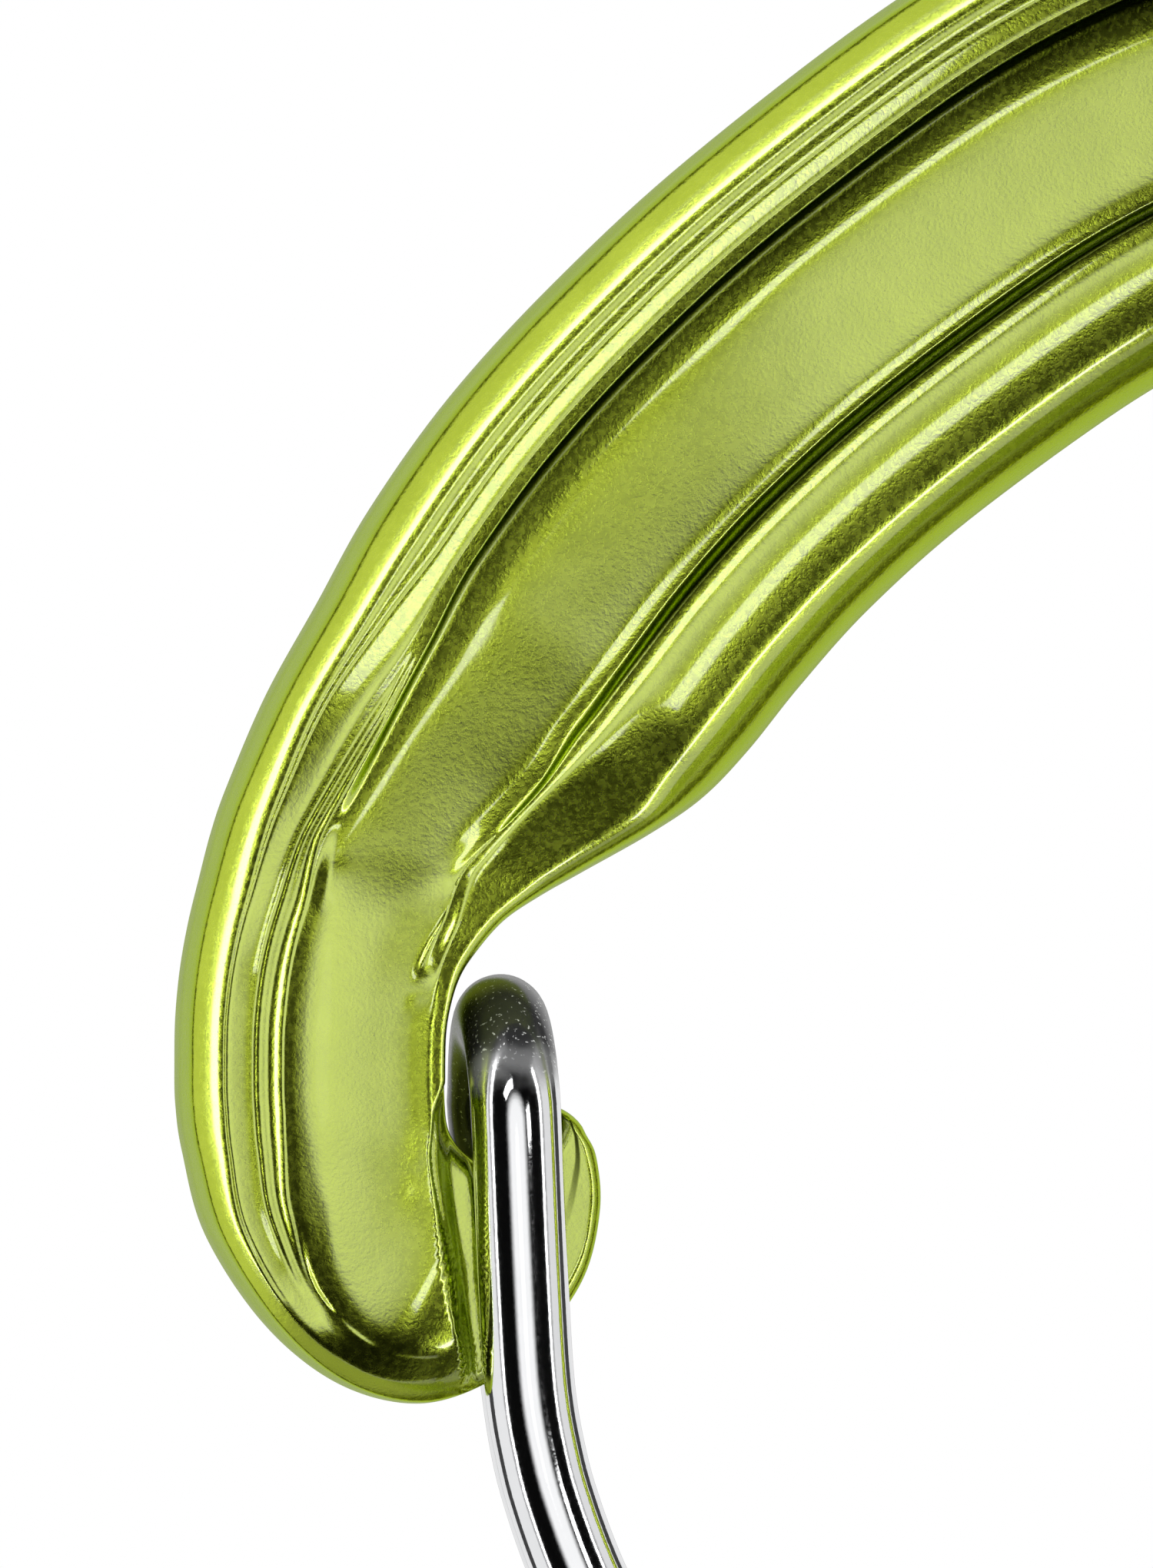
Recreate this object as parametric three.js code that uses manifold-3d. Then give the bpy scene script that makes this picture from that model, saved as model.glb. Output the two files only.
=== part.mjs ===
// Climbing quickdraw: two forged wire-gate carabiners joined by a sewn webbing sling.
// Millimetres, +Z up, hung as it is used. The origin is the point of the upper basket
// that the bolt hanger bears on. The gates are on -X, the spines on +X.

import * as THREE from 'three';
import { mergeVertices } from 'three/addons/utils/BufferGeometryUtils.js';
import Module from 'manifold-3d';

const wasm = await Module();
wasm.setup();

// Carabiner body, seen from the front
const bodyWidth = 52.5;
const bodyHeight = 100;
const neckDepth = 7.6;
const shoulderDepth = 13.2;
const basketDepth = 13.4;
const spineDepth = 9.5;
const barDepth = 9.5;
const cornerRadius = 18;
const basketRadius = 7.5;
const barInnerRadius = 10.5;
const spineLean = 0.5;
const bearingFlat = 2;
const headRise = 6.4;
const notchHeightShare = 0.633;
const beamEndShare = 0.62;
const pivotRise = 2.3;

// Carabiner body, seen from the side
const noseHalfThickness = 3.8;
const beamHalfThickness = 4.4;
const spineHalfThickness = 4.1;
const barHalfThickness = 3.9;
const tongueHalfThickness = 1.45;
const lugHalfThickness = 2.1;
const lugEndWall = 0.3;

// Wire gate
const wireDiameter = 2.6;
const seatGap = 0.4;
const gateRise = 2.6;
const gateBow = 1.8;
const gateSpring = 1.0;
const elbowRadius = 1.6;
const wireEndInset = 0.35;
const gateSpreadGrowth = 0.65;

// Clearances between pieces that touch on the real object
const touchGap = 0.3;
const pivotClearance = 0.4;
const notchClearance = 0.3;
const overrun = 5;

// Sling
const slingLength = 120;
const webbingWidth = 12;
const webbingThickness = 2.2;
const eyeLength = 17;
const tackLength = 8.4;
const tackHeight = 2;
const tackProud = 0.4;
const tackEndMargin = 5.5;
const tackPitch = 6;
const tacksPerHalf = 4;

// Rubber keeper and blank label
const keeperHeight = 8;
const keeperWall = 1.6;
const keeperBarGap = 1;
const labelHeight = 13;
const labelWall = 0.6;

// Faceting
const gateSides = 10;
const barStations = 18;
const cornerStations = 7;
const spineStations = 7;
const notchSides = 12;
const holeSides = 20;
const ribbonColumns = 6;
const cornerSides = 3;

// Worked out from the sizes above
const wireRadius = wireDiameter / 2;
const gateSpreadTop = tongueHalfThickness + touchGap + wireRadius;
const gateSpreadPivot = gateSpreadTop + gateSpreadGrowth;
const barMidRadius = barInnerRadius + barDepth / 2;
const barOuterRadius = barInnerRadius + barDepth;
const barCentre = { x: bodyWidth - spineLean - barOuterRadius, z: barOuterRadius };
const cornerCentre = { x: bodyWidth - cornerRadius, z: bodyHeight - cornerRadius };
const basketCentre = {
  x: bodyWidth - spineDepth - basketRadius,
  z: bodyHeight - basketDepth - basketRadius,
};
const bearing = { x: basketCentre.x - bearingFlat / 2, z: bodyHeight - basketDepth };
const notchRadius = wireRadius + notchClearance;
const notchCentre = { x: neckDepth + notchRadius, z: bodyHeight * notchHeightShare };
const gateTop = { x: neckDepth + seatGap + wireRadius, z: notchCentre.z + gateRise };
const pivot = { x: barCentre.x - barMidRadius, z: barCentre.z + pivotRise };
const slingHalfThickness = webbingThickness + touchGap / 2;
const barDrop = bearing.z - barCentre.z + barMidRadius;
const drawMiddle = -barDrop - slingLength / 2;

const green = new THREE.MeshStandardMaterial({ color: 0xa6bf3e, metalness: 1, roughness: 0.3 });
const steel = new THREE.MeshStandardMaterial({ color: 0xd0d0d2, metalness: 1, roughness: 0.08 });
const webbing = new THREE.MeshStandardMaterial({ color: 0x2a2c2e, roughness: 0.9 });
const thread = new THREE.MeshStandardMaterial({ color: 0xa6bf3e, roughness: 0.8 });
const rubber = new THREE.MeshStandardMaterial({ color: 0x17181a, roughness: 0.7 });
const label = new THREE.MeshStandardMaterial({ color: 0xe8e8e4, roughness: 0.85 });

// The outline from the hook's tip round the nose, up the shoulder and over to the basket's
// top. Each row of hookShares is one rib that fans round the notch: its angle on the notch,
// then its outer end in shares of the body's width and height.
const hookShares = [
  [352, 0.222, 0.6265],
  [344, 0.2285, 0.619],
  [335, 0.2305, 0.604],
  [320, 0.222, 0.585],
  [300, 0.2, 0.568],
  [285, 0.1715, 0.555],
  [270, 0.1315, 0.548],
  [255, 0.088, 0.5536],
  [240, 0.0495, 0.57],
  [220, 0.017, 0.596],
  [200, 0.004, 0.62],
];

// Each row of shoulderShares is a rib above the notch: its outer end, the angle at which it
// runs inward, its depth as a share of the size named beside it, and how far the section
// has turned from a solid bar (0) to a forged I-beam (1).
const shoulderShares = [
  [0.0, 0.634, 0, neckDepth, 1.0, 0],
  [-0.0005, 0.647, 0, neckDepth, 1.0, 0],
  [0.0, 0.66, -1, neckDepth, 1.006, 0],
  [0.0025, 0.6736, -2.6, neckDepth, 1.03, 0],
  [0.007, 0.687, -6.3, neckDepth, 1.071, 0.02],
  [0.013, 0.7, -8.4, neckDepth, 1.147, 0.05],
  [0.02, 0.7136, -11.5, shoulderDepth, 0.724, 0.1],
  [0.029, 0.727, -14.4, shoulderDepth, 0.788, 0.16],
  [0.051, 0.7536, -20.6, shoulderDepth, 0.886, 0.35],
  [0.079, 0.78, -27.4, shoulderDepth, 0.94, 0.6],
  [0.1075, 0.807, -33, shoulderDepth, 0.98, 0.85],
  [0.1525, 0.84, -40.2, shoulderDepth, 0.993, 1],
  [0.2115, 0.8736, -47.2, shoulderDepth, 0.993, 1],
  [0.286, 0.9095, -53.4, shoulderDepth, 1.004, 1],
  [0.396, 0.9536, -60.8, shoulderDepth, 1.025, 1],
  [0.486, 0.98, -68, basketDepth, 1.015, 1],
  [0.571, 0.9955, -77.6, basketDepth, 1.007, 1],
];

// Half of a section, from the outer edge (0) to the inner edge (1), with its height as a
// share of the half thickness. The I-beam has two flanges and a thin web between them.
const beamShares = [
  [0, 0.14],
  [0.022, 0.56],
  [0.06, 0.88],
  [0.095, 1],
  [0.145, 0.95],
  [0.19, 0.985],
  [0.235, 0.82],
  [0.29, 0.42],
  [0.345, 0.34],
  [0.6, 0.34],
  [0.66, 0.42],
  [0.715, 0.84],
  [0.8, 0.88],
  [0.885, 0.72],
  [0.955, 0.46],
  [1, 0.22],
];
const solidShares = [
  [0, 0.14],
  [0.022, 0.46],
  [0.06, 0.68],
  [0.12, 0.84],
  [0.19, 0.88],
  [0.27, 0.9],
  [0.34, 0.87],
  [0.42, 0.86],
  [0.5, 0.95],
  [0.58, 1],
  [0.68, 1],
  [0.77, 0.97],
  [0.84, 0.9],
  [0.91, 0.76],
  [0.965, 0.52],
  [1, 0.22],
];

// The plain rounded bar that the sling and the gate's lug need.
const barShares = solidShares.map((_, i) => {
  const turn = (Math.PI * i) / (solidShares.length - 1);
  const flat = solidShares[0][1];
  return [(1 - Math.cos(turn)) / 2, flat + (1 - flat) * Math.sin(turn) ** 0.8];
});

// The in-plane route of a gate leg: share of the way from pivot to tip, then share of the bow.
const gateBowShares = [
  [0.09, 0.45],
  [0.167, 0.78],
  [0.303, 1],
  [0.424, 0.74],
  [0.538, 0.145],
  [0.6, -0.19],
  [0.643, -0.38],
  [0.68, -0.53],
  [0.714, -0.6],
  [0.762, -0.59],
  [0.84, -0.42],
];

const radians = THREE.MathUtils.degToRad;
const mix = THREE.MathUtils.lerp;

// A point of the carabiner's plane, from its left edge and lowest point, in the part's frame.
function inPlane(point, y = 0) {
  return new THREE.Vector3(point.x - bearing.x, y, point.z - bearing.z);
}

function polar(centre, radius, degrees) {
  return {
    x: centre.x + radius * Math.cos(radians(degrees)),
    z: centre.z + radius * Math.sin(radians(degrees)),
  };
}

// A closed shell through rings of equally many points, with flat fans over both ends.
function loft(rings) {
  const count = rings[0].length;
  const positions = rings.flat().flatMap((p) => [p.x, p.y, p.z]);
  const faces = [];
  for (let r = 0; r + 1 < rings.length; r++) {
    for (let k = 0; k < count; k++) {
      const a = r * count + k;
      const b = r * count + ((k + 1) % count);
      faces.push(a, b, a + count, b, b + count, a + count);
    }
  }
  for (const [start, flip] of [[0, true], [(rings.length - 1) * count, false]]) {
    const middle = new THREE.Vector3();
    for (let k = 0; k < count; k++) {
      middle.add(new THREE.Vector3().fromArray(positions, (start + k) * 3));
    }
    middle.divideScalar(count);
    const hub = positions.length / 3;
    positions.push(middle.x, middle.y, middle.z);
    for (let k = 0; k < count; k++) {
      const a = start + k;
      const b = start + ((k + 1) % count);
      faces.push(...(flip ? [b, a, hub] : [a, b, hub]));
    }
  }
  const geometry = new THREE.BufferGeometry();
  geometry.setAttribute('position', new THREE.Float32BufferAttribute(positions, 3));
  geometry.setIndex(faces);
  return turnedOut(geometry);
}

function signedVolume(geometry) {
  const position = geometry.getAttribute('position');
  const index = geometry.getIndex();
  const a = new THREE.Vector3();
  const b = new THREE.Vector3();
  const c = new THREE.Vector3();
  let volume = 0;
  for (let i = 0; i < index.count; i += 3) {
    a.fromBufferAttribute(position, index.getX(i));
    b.fromBufferAttribute(position, index.getX(i + 1));
    c.fromBufferAttribute(position, index.getX(i + 2));
    volume += a.dot(b.cross(c)) / 6;
  }
  return volume;
}

// Faces all point out once the volume that they enclose is positive.
function turnedOut(geometry) {
  if (signedVolume(geometry) < 0) {
    geometry.setIndex([...geometry.getIndex().array].reverse());
  }
  return geometry;
}

function toSolid(geometry) {
  const bare = geometry.clone();
  bare.deleteAttribute('normal');
  bare.deleteAttribute('uv');
  const merged = mergeVertices(bare);
  return new wasm.Manifold(
    new wasm.Mesh({
      numProp: 3,
      vertProperties: Float32Array.from(merged.getAttribute('position').array),
      triVerts: Uint32Array.from(merged.getIndex().array),
    }),
  );
}

function toGeometry(solid) {
  const mesh = solid.getMesh();
  const geometry = new THREE.BufferGeometry();
  geometry.setAttribute('position', new THREE.BufferAttribute(mesh.vertProperties, 3));
  geometry.setIndex(new THREE.BufferAttribute(mesh.triVerts, 1));
  return geometry;
}

// An outline in the plane of X and Z, given as points, made solid from one Y to another.
function plate(points, fromY, toY) {
  const shape = new THREE.Shape(points.map((p) => new THREE.Vector2(p.x, p.z)));
  const geometry = new THREE.ExtrudeGeometry(shape, { depth: toY - fromY, bevelEnabled: false });
  geometry.rotateX(Math.PI / 2);
  geometry.translate(0, toY, 0);
  return geometry;
}

function pin(centre, radius, fromY, toY, sides = holeSides) {
  const ring = [];
  for (let k = 0; k < sides; k++) {
    ring.push(polar(centre, radius, (360 * k) / sides));
  }
  return plate(ring, fromY, toY);
}

// Ribs of the body

function hookRibs() {
  return hookShares.map(([angle, x, z]) => ({
    outer: { x: x * bodyWidth, z: z * bodyHeight },
    inner: polar(notchCentre, notchRadius, angle),
    half: noseHalfThickness,
    beam: 0,
    bar: 0,
  }));
}

function shoulderRibs() {
  return shoulderShares.map(([x, z, angle, size, share, beam]) => {
    const outer = { x: x * bodyWidth, z: z * bodyHeight };
    return {
      outer,
      inner: polar(outer, size * share, angle),
      half: mix(noseHalfThickness, beamHalfThickness, beam),
      beam,
      bar: 0,
    };
  });
}

function cornerRibs() {
  const ribs = [{
    outer: { x: cornerCentre.x - bearingFlat, z: bodyHeight },
    inner: { x: basketCentre.x - bearingFlat, z: bearing.z },
    half: beamHalfThickness,
    beam: 1,
    bar: 0,
  }];
  for (let k = 0; k <= cornerStations; k++) {
    const share = k / cornerStations;
    ribs.push({
      outer: polar(cornerCentre, cornerRadius, 90 * (1 - share)),
      inner: polar(basketCentre, basketRadius, 90 * (1 - share)),
      half: mix(beamHalfThickness, spineHalfThickness, share),
      beam: 1,
      bar: 0,
    });
  }
  return ribs;
}

function spineRibs() {
  const ribs = [];
  const barEnd = polar(barCentre, barOuterRadius, 0);
  for (let k = 1; k < spineStations; k++) {
    const share = k / spineStations;
    const outer = {
      x: mix(bodyWidth, barEnd.x, share),
      z: mix(cornerCentre.z, barEnd.z, share),
    };
    const innerZ = mix(basketCentre.z, barEnd.z, share);
    const rounding = THREE.MathUtils.smoothstep(share, beamEndShare, 1);
    ribs.push({
      outer,
      inner: { x: mix(bodyWidth - spineDepth, barEnd.x - barDepth, share), z: innerZ },
      half: mix(spineHalfThickness, barHalfThickness, rounding),
      beam: 1 - rounding,
      bar: rounding,
    });
  }
  return ribs;
}

function barRibs() {
  const ribs = [];
  for (let k = 0; k <= barStations; k++) {
    const angle = (-180 * k) / barStations;
    ribs.push({
      outer: polar(barCentre, barOuterRadius, angle),
      inner: polar(barCentre, barInnerRadius, angle),
      half: barHalfThickness,
      beam: 0,
      bar: 1,
    });
  }
  return ribs;
}

// The head above the bar's end closes in a half round over the pivot.
function headRibs() {
  const closings = [0.3, 0.55, 0.75, 0.9, 1];
  const end = polar(barCentre, barMidRadius, 180);
  const riseStart = headRise - barDepth / 2 + pivotRise;
  return [0, ...closings].map((share) => {
    const rise = riseStart + (barDepth / 2) * share;
    const reach = (barDepth / 2) * Math.sqrt(1 - (share * 0.96) ** 2);
    return {
      outer: { x: end.x - reach, z: end.z + rise },
      inner: { x: end.x + reach, z: end.z + rise },
      half: barHalfThickness,
      beam: 0,
      bar: 1,
    };
  });
}

// The ring of points round the body at a rib.
function section(rib) {
  const front = solidShares.map((_, i) => {
    const beam = beamShares[i];
    const solid = solidShares[i];
    const bar = barShares[i];
    const place = mix(mix(solid[0], beam[0], rib.beam), bar[0], rib.bar);
    const height = mix(mix(solid[1], beam[1], rib.beam), bar[1], rib.bar);
    const point = {
      x: mix(rib.outer.x, rib.inner.x, place),
      z: mix(rib.outer.z, rib.inner.z, place),
    };
    return { point, y: -height * rib.half };
  });
  const back = front.map(({ point, y }) => ({ point, y: -y })).reverse();
  return [...front, ...back].map(({ point, y }) => inPlane(point, y));
}

// The gate's leg between the pivot and the tip, in the carabiner's plane.
function gateRoute() {
  const along = new THREE.Vector2(gateTop.x - pivot.x, gateTop.z - pivot.z);
  const across = new THREE.Vector2(along.y, -along.x).normalize();
  return gateBowShares.map(([way, bow]) => ({
    way,
    x: pivot.x + along.x * way + across.x * bow * gateBow,
    z: pivot.z + along.y * way + across.y * bow * gateBow,
  }));
}

// The step beside the hook, which lets a gate leg lie against the thin tongue.
function legPocket(side) {
  const route = gateRoute();
  const low = route[route.length - 2];
  const high = { x: gateTop.x, z: notchCentre.z };
  const wall = wireRadius + touchGap;
  const below = { x: low.x - wall + seatGap, z: low.z - noseHalfThickness };
  const points = [
    { x: high.x - wall - seatGap, z: high.z + touchGap },
    { x: mix(high.x, low.x, 0.5) - wall - touchGap, z: mix(high.z, low.z, 0.5) },
    { x: low.x - wall, z: low.z },
    below,
    { x: below.x + bodyWidth / 4, z: below.z },
    { x: below.x + bodyWidth / 4, z: high.z + touchGap },
  ];
  const outline = points.map((p) => inPlane(p));
  const from = tongueHalfThickness;
  const to = noseHalfThickness + overrun;
  return toSolid(side < 0 ? plate(outline, -to, -from) : plate(outline, from, to));
}

// The round seat that thins the head to a lug, open above so that the gate can swing.
function lugSeat(side) {
  const radius = barDepth / 2 - touchGap;
  const points = [];
  for (let k = 0; k <= notchSides; k++) {
    points.push(polar(pivot, radius, 180 + (180 * k) / notchSides));
  }
  points.push({ x: pivot.x + barDepth, z: pivot.z });
  points.push({ x: pivot.x + barDepth, z: pivot.z + headRise + overrun });
  points.push({ x: pivot.x - barDepth, z: pivot.z + headRise + overrun });
  points.push({ x: pivot.x - barDepth, z: pivot.z });
  const outline = points.map((p) => inPlane(p));
  const to = barHalfThickness + overrun;
  return toSolid(side < 0 ? plate(outline, -to, -lugHalfThickness) : plate(outline, lugHalfThickness, to));
}

// The two pivot holes sit a little apart, one above the other: this twists the wire shut.
function pivotEnd(side) {
  return { x: pivot.x, z: pivot.z - (side * gateSpring) / 2 };
}

function pivotHole(side) {
  const radius = wireRadius + pivotClearance;
  const centre = inPlane(pivotEnd(side));
  const to = lugHalfThickness + overrun;
  const wall = lugEndWall / 2;
  return toSolid(side < 0 ? pin(centre, radius, -to, -wall) : pin(centre, radius, wall, to));
}

function bodySolid() {
  const ribs = [
    ...hookRibs(), ...shoulderRibs(), ...cornerRibs(), ...spineRibs(), ...barRibs(), ...headRibs(),
  ];
  let solid = toSolid(loft(ribs.map(section)));
  for (const side of [-1, 1]) {
    for (const cut of [legPocket(side), lugSeat(side), pivotHole(side)]) {
      solid = solid.subtract(cut);
    }
  }
  return solid;
}

// A round wire through a list of points.
function wire(points, radius, sides) {
  const tangents = points.map((p, i) => {
    const before = points[Math.max(i - 1, 0)];
    const after = points[Math.min(i + 1, points.length - 1)];
    return after.clone().sub(before).normalize();
  });
  let normal = new THREE.Vector3(1, 0, 0).cross(tangents[0]).normalize();
  const rings = points.map((p, i) => {
    normal = normal.clone().addScaledVector(tangents[i], -normal.dot(tangents[i])).normalize();
    const other = tangents[i].clone().cross(normal);
    const ring = [];
    for (let k = 0; k < sides; k++) {
      const turn = (2 * Math.PI * k) / sides;
      ring.push(
        p.clone()
          .addScaledVector(normal, radius * Math.cos(turn))
          .addScaledVector(other, radius * Math.sin(turn)),
      );
    }
    return ring;
  });
  return loft(rings);
}

// One leg of the gate, from its end in the lug to just below the bend at the tip.
function gateLeg(side) {
  const end = pivotEnd(side);
  const start = gateRoute()[0];
  const up = new THREE.Vector3(start.x - end.x, 0, start.z - end.z).normalize();
  const at = inPlane(end);
  const points = [
    at.clone().setY(side * (lugEndWall / 2 + wireEndInset)),
    at.clone().setY(side * (gateSpreadPivot - elbowRadius)),
  ];
  for (const degrees of [22, 45, 68, 90]) {
    const out = gateSpreadPivot - elbowRadius * (1 - Math.sin(radians(degrees)));
    const rise = elbowRadius * (1 - Math.cos(radians(degrees)));
    points.push(at.clone().addScaledVector(up, rise).setY(side * out));
  }
  for (const step of gateRoute()) {
    points.push(inPlane(step, side * mix(gateSpreadPivot, gateSpreadTop, step.way)));
  }
  return points;
}

function gateGeometry() {
  const tip = inPlane(gateTop);
  const below = gateRoute().at(-1);
  const up = tip.clone().sub(inPlane(below)).normalize();
  const bend = [];
  for (const degrees of [0, 22, 45, 68, 90, 112, 135, 158, 180]) {
    const side = -gateSpreadTop * Math.cos(radians(degrees));
    const drop = gateSpreadTop * (1 - Math.sin(radians(degrees)));
    bend.push(tip.clone().addScaledVector(up, -drop).setY(side));
  }
  return wire([...gateLeg(-1), ...bend, ...gateLeg(1).reverse()], wireRadius, gateSides);
}

// The webbing's path round a bar: outward from the seam, over the bar and back, with the
// bar's middle at height 0 and the sling leaving downward.
const eyeSide = barHalfThickness + touchGap + webbingThickness / 2;
const eyeTop = barDepth / 2 + touchGap + webbingThickness / 2;
const seamSide = slingHalfThickness - webbingThickness / 2;
const crownFullness = 0.82;

function eyeHalfWidth(drop) {
  return mix(seamSide, eyeSide, 1 - THREE.MathUtils.smoothstep(drop, 0, eyeLength - eyeTop / 2));
}

function eyePath() {
  const points = [];
  const drops = [1, 0.86, 0.72, 0.58, 0.44, 0.3, 0.15];
  for (const share of drops) {
    points.push({ y: -eyeHalfWidth(share * eyeLength), z: -share * eyeLength });
  }
  for (let k = 0; k <= notchSides; k++) {
    const turn = (Math.PI * k) / notchSides;
    const across = Math.sign(Math.cos(turn)) * Math.abs(Math.cos(turn)) ** crownFullness;
    points.push({ y: -eyeSide * across, z: eyeTop * Math.sin(turn) ** crownFullness });
  }
  for (const share of drops.toReversed()) {
    points.push({ y: eyeHalfWidth(share * eyeLength), z: -share * eyeLength });
  }
  return points;
}

// How far the webbing is lifted at a distance x from its middle, because the bar is curved.
function crownLift(x, z) {
  const radius = barInnerRadius;
  const sag = radius - Math.sqrt(radius ** 2 - x ** 2);
  const reach = THREE.MathUtils.smoothstep(z, -eyeLength, 0);
  return sag * reach * mix(0.6, 1, THREE.MathUtils.smoothstep(z, 0, eyeTop));
}

function eyeGeometry() {
  const path = eyePath();
  const half = webbingThickness / 2;
  const last = path.length - 1;
  const rings = path.map((p, i) => {
    const before = path[Math.max(i - 1, 0)];
    const after = path[Math.min(i + 1, last)];
    const run = i === 0 || i === last
      ? new THREE.Vector2(0, i === 0 ? 1 : -1)
      : new THREE.Vector2(after.y - before.y, after.z - before.z).normalize();
    const ring = [];
    for (const side of [1, -1]) {
      for (let c = 0; c <= ribbonColumns; c++) {
        const x = side * webbingWidth * (c / ribbonColumns - 0.5);
        ring.push(
          new THREE.Vector3(
            x,
            p.y + side * half * run.y,
            p.z - side * half * run.x + crownLift(x, p.z),
          ),
        );
      }
    }
    return ring;
  });
  const geometry = loft(rings);
  geometry.translate(barCentre.x - bearing.x, 0, 0);
  return geometry;
}

// Strap halves: sewn double webbing with a rounded end that the eye's flex hinge turns in.
const hingeDrop = eyeLength + touchGap + slingHalfThickness;
const strapTop = -barDrop - hingeDrop;
const strapHalf = strapTop - drawMiddle;

// The tacks move closer together on a short sling, so that the last one stays clear of the label.
function tackHeights() {
  const room = strapHalf - labelHeight - tackEndMargin - tackHeight / 2 - 2 * touchGap;
  const pitch = Math.min(tackPitch, room / (tacksPerHalf - 1));
  const heights = [];
  for (let k = 0; k < tacksPerHalf; k++) {
    heights.push(strapTop - tackEndMargin - k * pitch);
  }
  return heights;
}

// A flat bar with round ends, through the sling from front to back.
function stadium(height, length, thickness, halfDepth) {
  const radius = thickness / 2;
  const reach = length / 2 - radius;
  const middle = barCentre.x - bearing.x;
  const points = [];
  for (const side of [1, -1]) {
    for (let k = 0; k <= 4; k++) {
      const centre = { x: middle + side * reach, z: height };
      points.push(polar(centre, radius, (side > 0 ? -90 : 90) + 45 * k));
    }
  }
  return plate(points, -halfDepth, halfDepth);
}

function strapGeometry() {
  const rounds = 8;
  const outline = [];
  for (let k = 0; k <= rounds; k++) {
    const turn = (Math.PI * k) / rounds;
    outline.push(
      new THREE.Vector2(
        slingHalfThickness * Math.cos(turn),
        strapTop + slingHalfThickness * Math.sin(turn),
      ),
    );
  }
  outline.push(new THREE.Vector2(-slingHalfThickness, drawMiddle + touchGap / 2));
  outline.push(new THREE.Vector2(slingHalfThickness, drawMiddle + touchGap / 2));
  const geometry = new THREE.ExtrudeGeometry(new THREE.Shape(outline), {
    depth: webbingWidth,
    bevelEnabled: false,
  });
  geometry.rotateX(Math.PI / 2);
  geometry.rotateZ(Math.PI / 2);
  geometry.translate(barCentre.x - bearing.x - webbingWidth / 2, 0, 0);
  let solid = toSolid(geometry);
  for (const height of tackHeights()) {
    const slot = stadium(
      height, tackLength + 2 * touchGap, tackHeight + 2 * touchGap, slingHalfThickness + overrun,
    );
    solid = solid.subtract(toSolid(slot));
  }
  return toGeometry(solid);
}

// A rounded rectangle round the sling's axis, at one height.
function sleeveRing(halfWidth, halfDepth, corner, z) {
  const ring = [];
  for (const quarter of [0, 1, 2, 3]) {
    const right = quarter === 0 || quarter === 3 ? 1 : -1;
    const front = quarter < 2 ? 1 : -1;
    const centre = { x: right * (halfWidth - corner), z: front * (halfDepth - corner) };
    for (let k = 0; k <= cornerSides; k++) {
      const at = polar(centre, corner, 90 * (quarter + k / cornerSides));
      ring.push(new THREE.Vector3(at.x, at.z, z));
    }
  }
  return ring;
}

function sleeve(levels, wall) {
  const halfWidth = webbingWidth / 2 + touchGap;
  const outside = levels.map(({ z, halfDepth }) => (
    sleeveRing(halfWidth + wall, halfDepth + wall, touchGap + wall, z)
  ));
  const first = levels[0];
  const last = levels.at(-1);
  const through = [
    { ...first, z: first.z + overrun }, ...levels, { ...last, z: last.z - overrun },
  ];
  const inside = through.map(({ z, halfDepth }) => sleeveRing(halfWidth, halfDepth, touchGap, z));
  const solid = toSolid(loft(outside)).subtract(toSolid(loft(inside)));
  const geometry = toGeometry(solid);
  geometry.translate(barCentre.x - bearing.x, 0, 0);
  return geometry;
}

// The keeper squeezes the lower eye onto its bar: it narrows as the two plies come together.
function keeperGeometry() {
  const top = -barDepth / 2 - keeperBarGap;
  const levels = [0, 0.34, 0.67, 1].map((share) => {
    const z = top - share * keeperHeight;
    return { z, halfDepth: eyeHalfWidth(-z) + webbingThickness / 2 + 2 * touchGap };
  });
  return sleeve(levels, keeperWall);
}

function labelGeometry() {
  const top = drawMiddle + labelHeight + touchGap;
  const levels = [
    { z: top, halfDepth: slingHalfThickness + touchGap },
    { z: top - labelHeight, halfDepth: slingHalfThickness + touchGap },
  ];
  return sleeve(levels, labelWall);
}

// Assembly

const quickdraw = new THREE.Group();

function add(parent, name, geometry, material) {
  geometry.computeVertexNormals();
  const mesh = new THREE.Mesh(geometry, material);
  mesh.name = name;
  parent.add(mesh);
  return mesh;
}

// One end of the draw: a carabiner, its eye of webbing and its half of the sewn strap.
function halfDraw(place) {
  const end = new THREE.Group();
  add(end, `${place}_body`, toGeometry(bodySolid()), green);
  add(end, `${place}_gate`, gateGeometry(), steel);
  const eye = add(end, `${place}_loop`, eyeGeometry(), webbing);
  eye.position.z = -barDrop;
  add(end, `${place}_strap`, strapGeometry(), webbing);
  tackHeights().forEach((height, i) => {
    const bar = stadium(height, tackLength, tackHeight, slingHalfThickness + tackProud);
    add(end, `${place}_bar_tack_${i + 1}`, mergeVertices(toGeometry(toSolid(bar))), thread);
  });
  return end;
}

const upper = halfDraw('upper');
add(upper, 'label_band', labelGeometry(), label);
quickdraw.add(upper);

const lower = halfDraw('lower');
const keeper = add(lower, 'keeper', keeperGeometry(), rubber);
keeper.position.z = -barDrop;
lower.rotation.x = Math.PI;
lower.position.z = 2 * drawMiddle;
quickdraw.add(lower);

export default quickdraw;
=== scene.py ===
# %% [markdown]
# # A climbing quickdraw
# A quickdraw is two forged wire-gate carabiners joined by a short sewn sling. The packed frame already
# holds every piece at its real size, so this lesson only dresses it: a fine surface for each forging,
# round polished wire, woven webbing, stitches and rubber. Nothing is moved, because each piece is
# modelled in the frame's own coordinates, in metres.

# %% The frame and the box that it fills
import math

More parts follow.
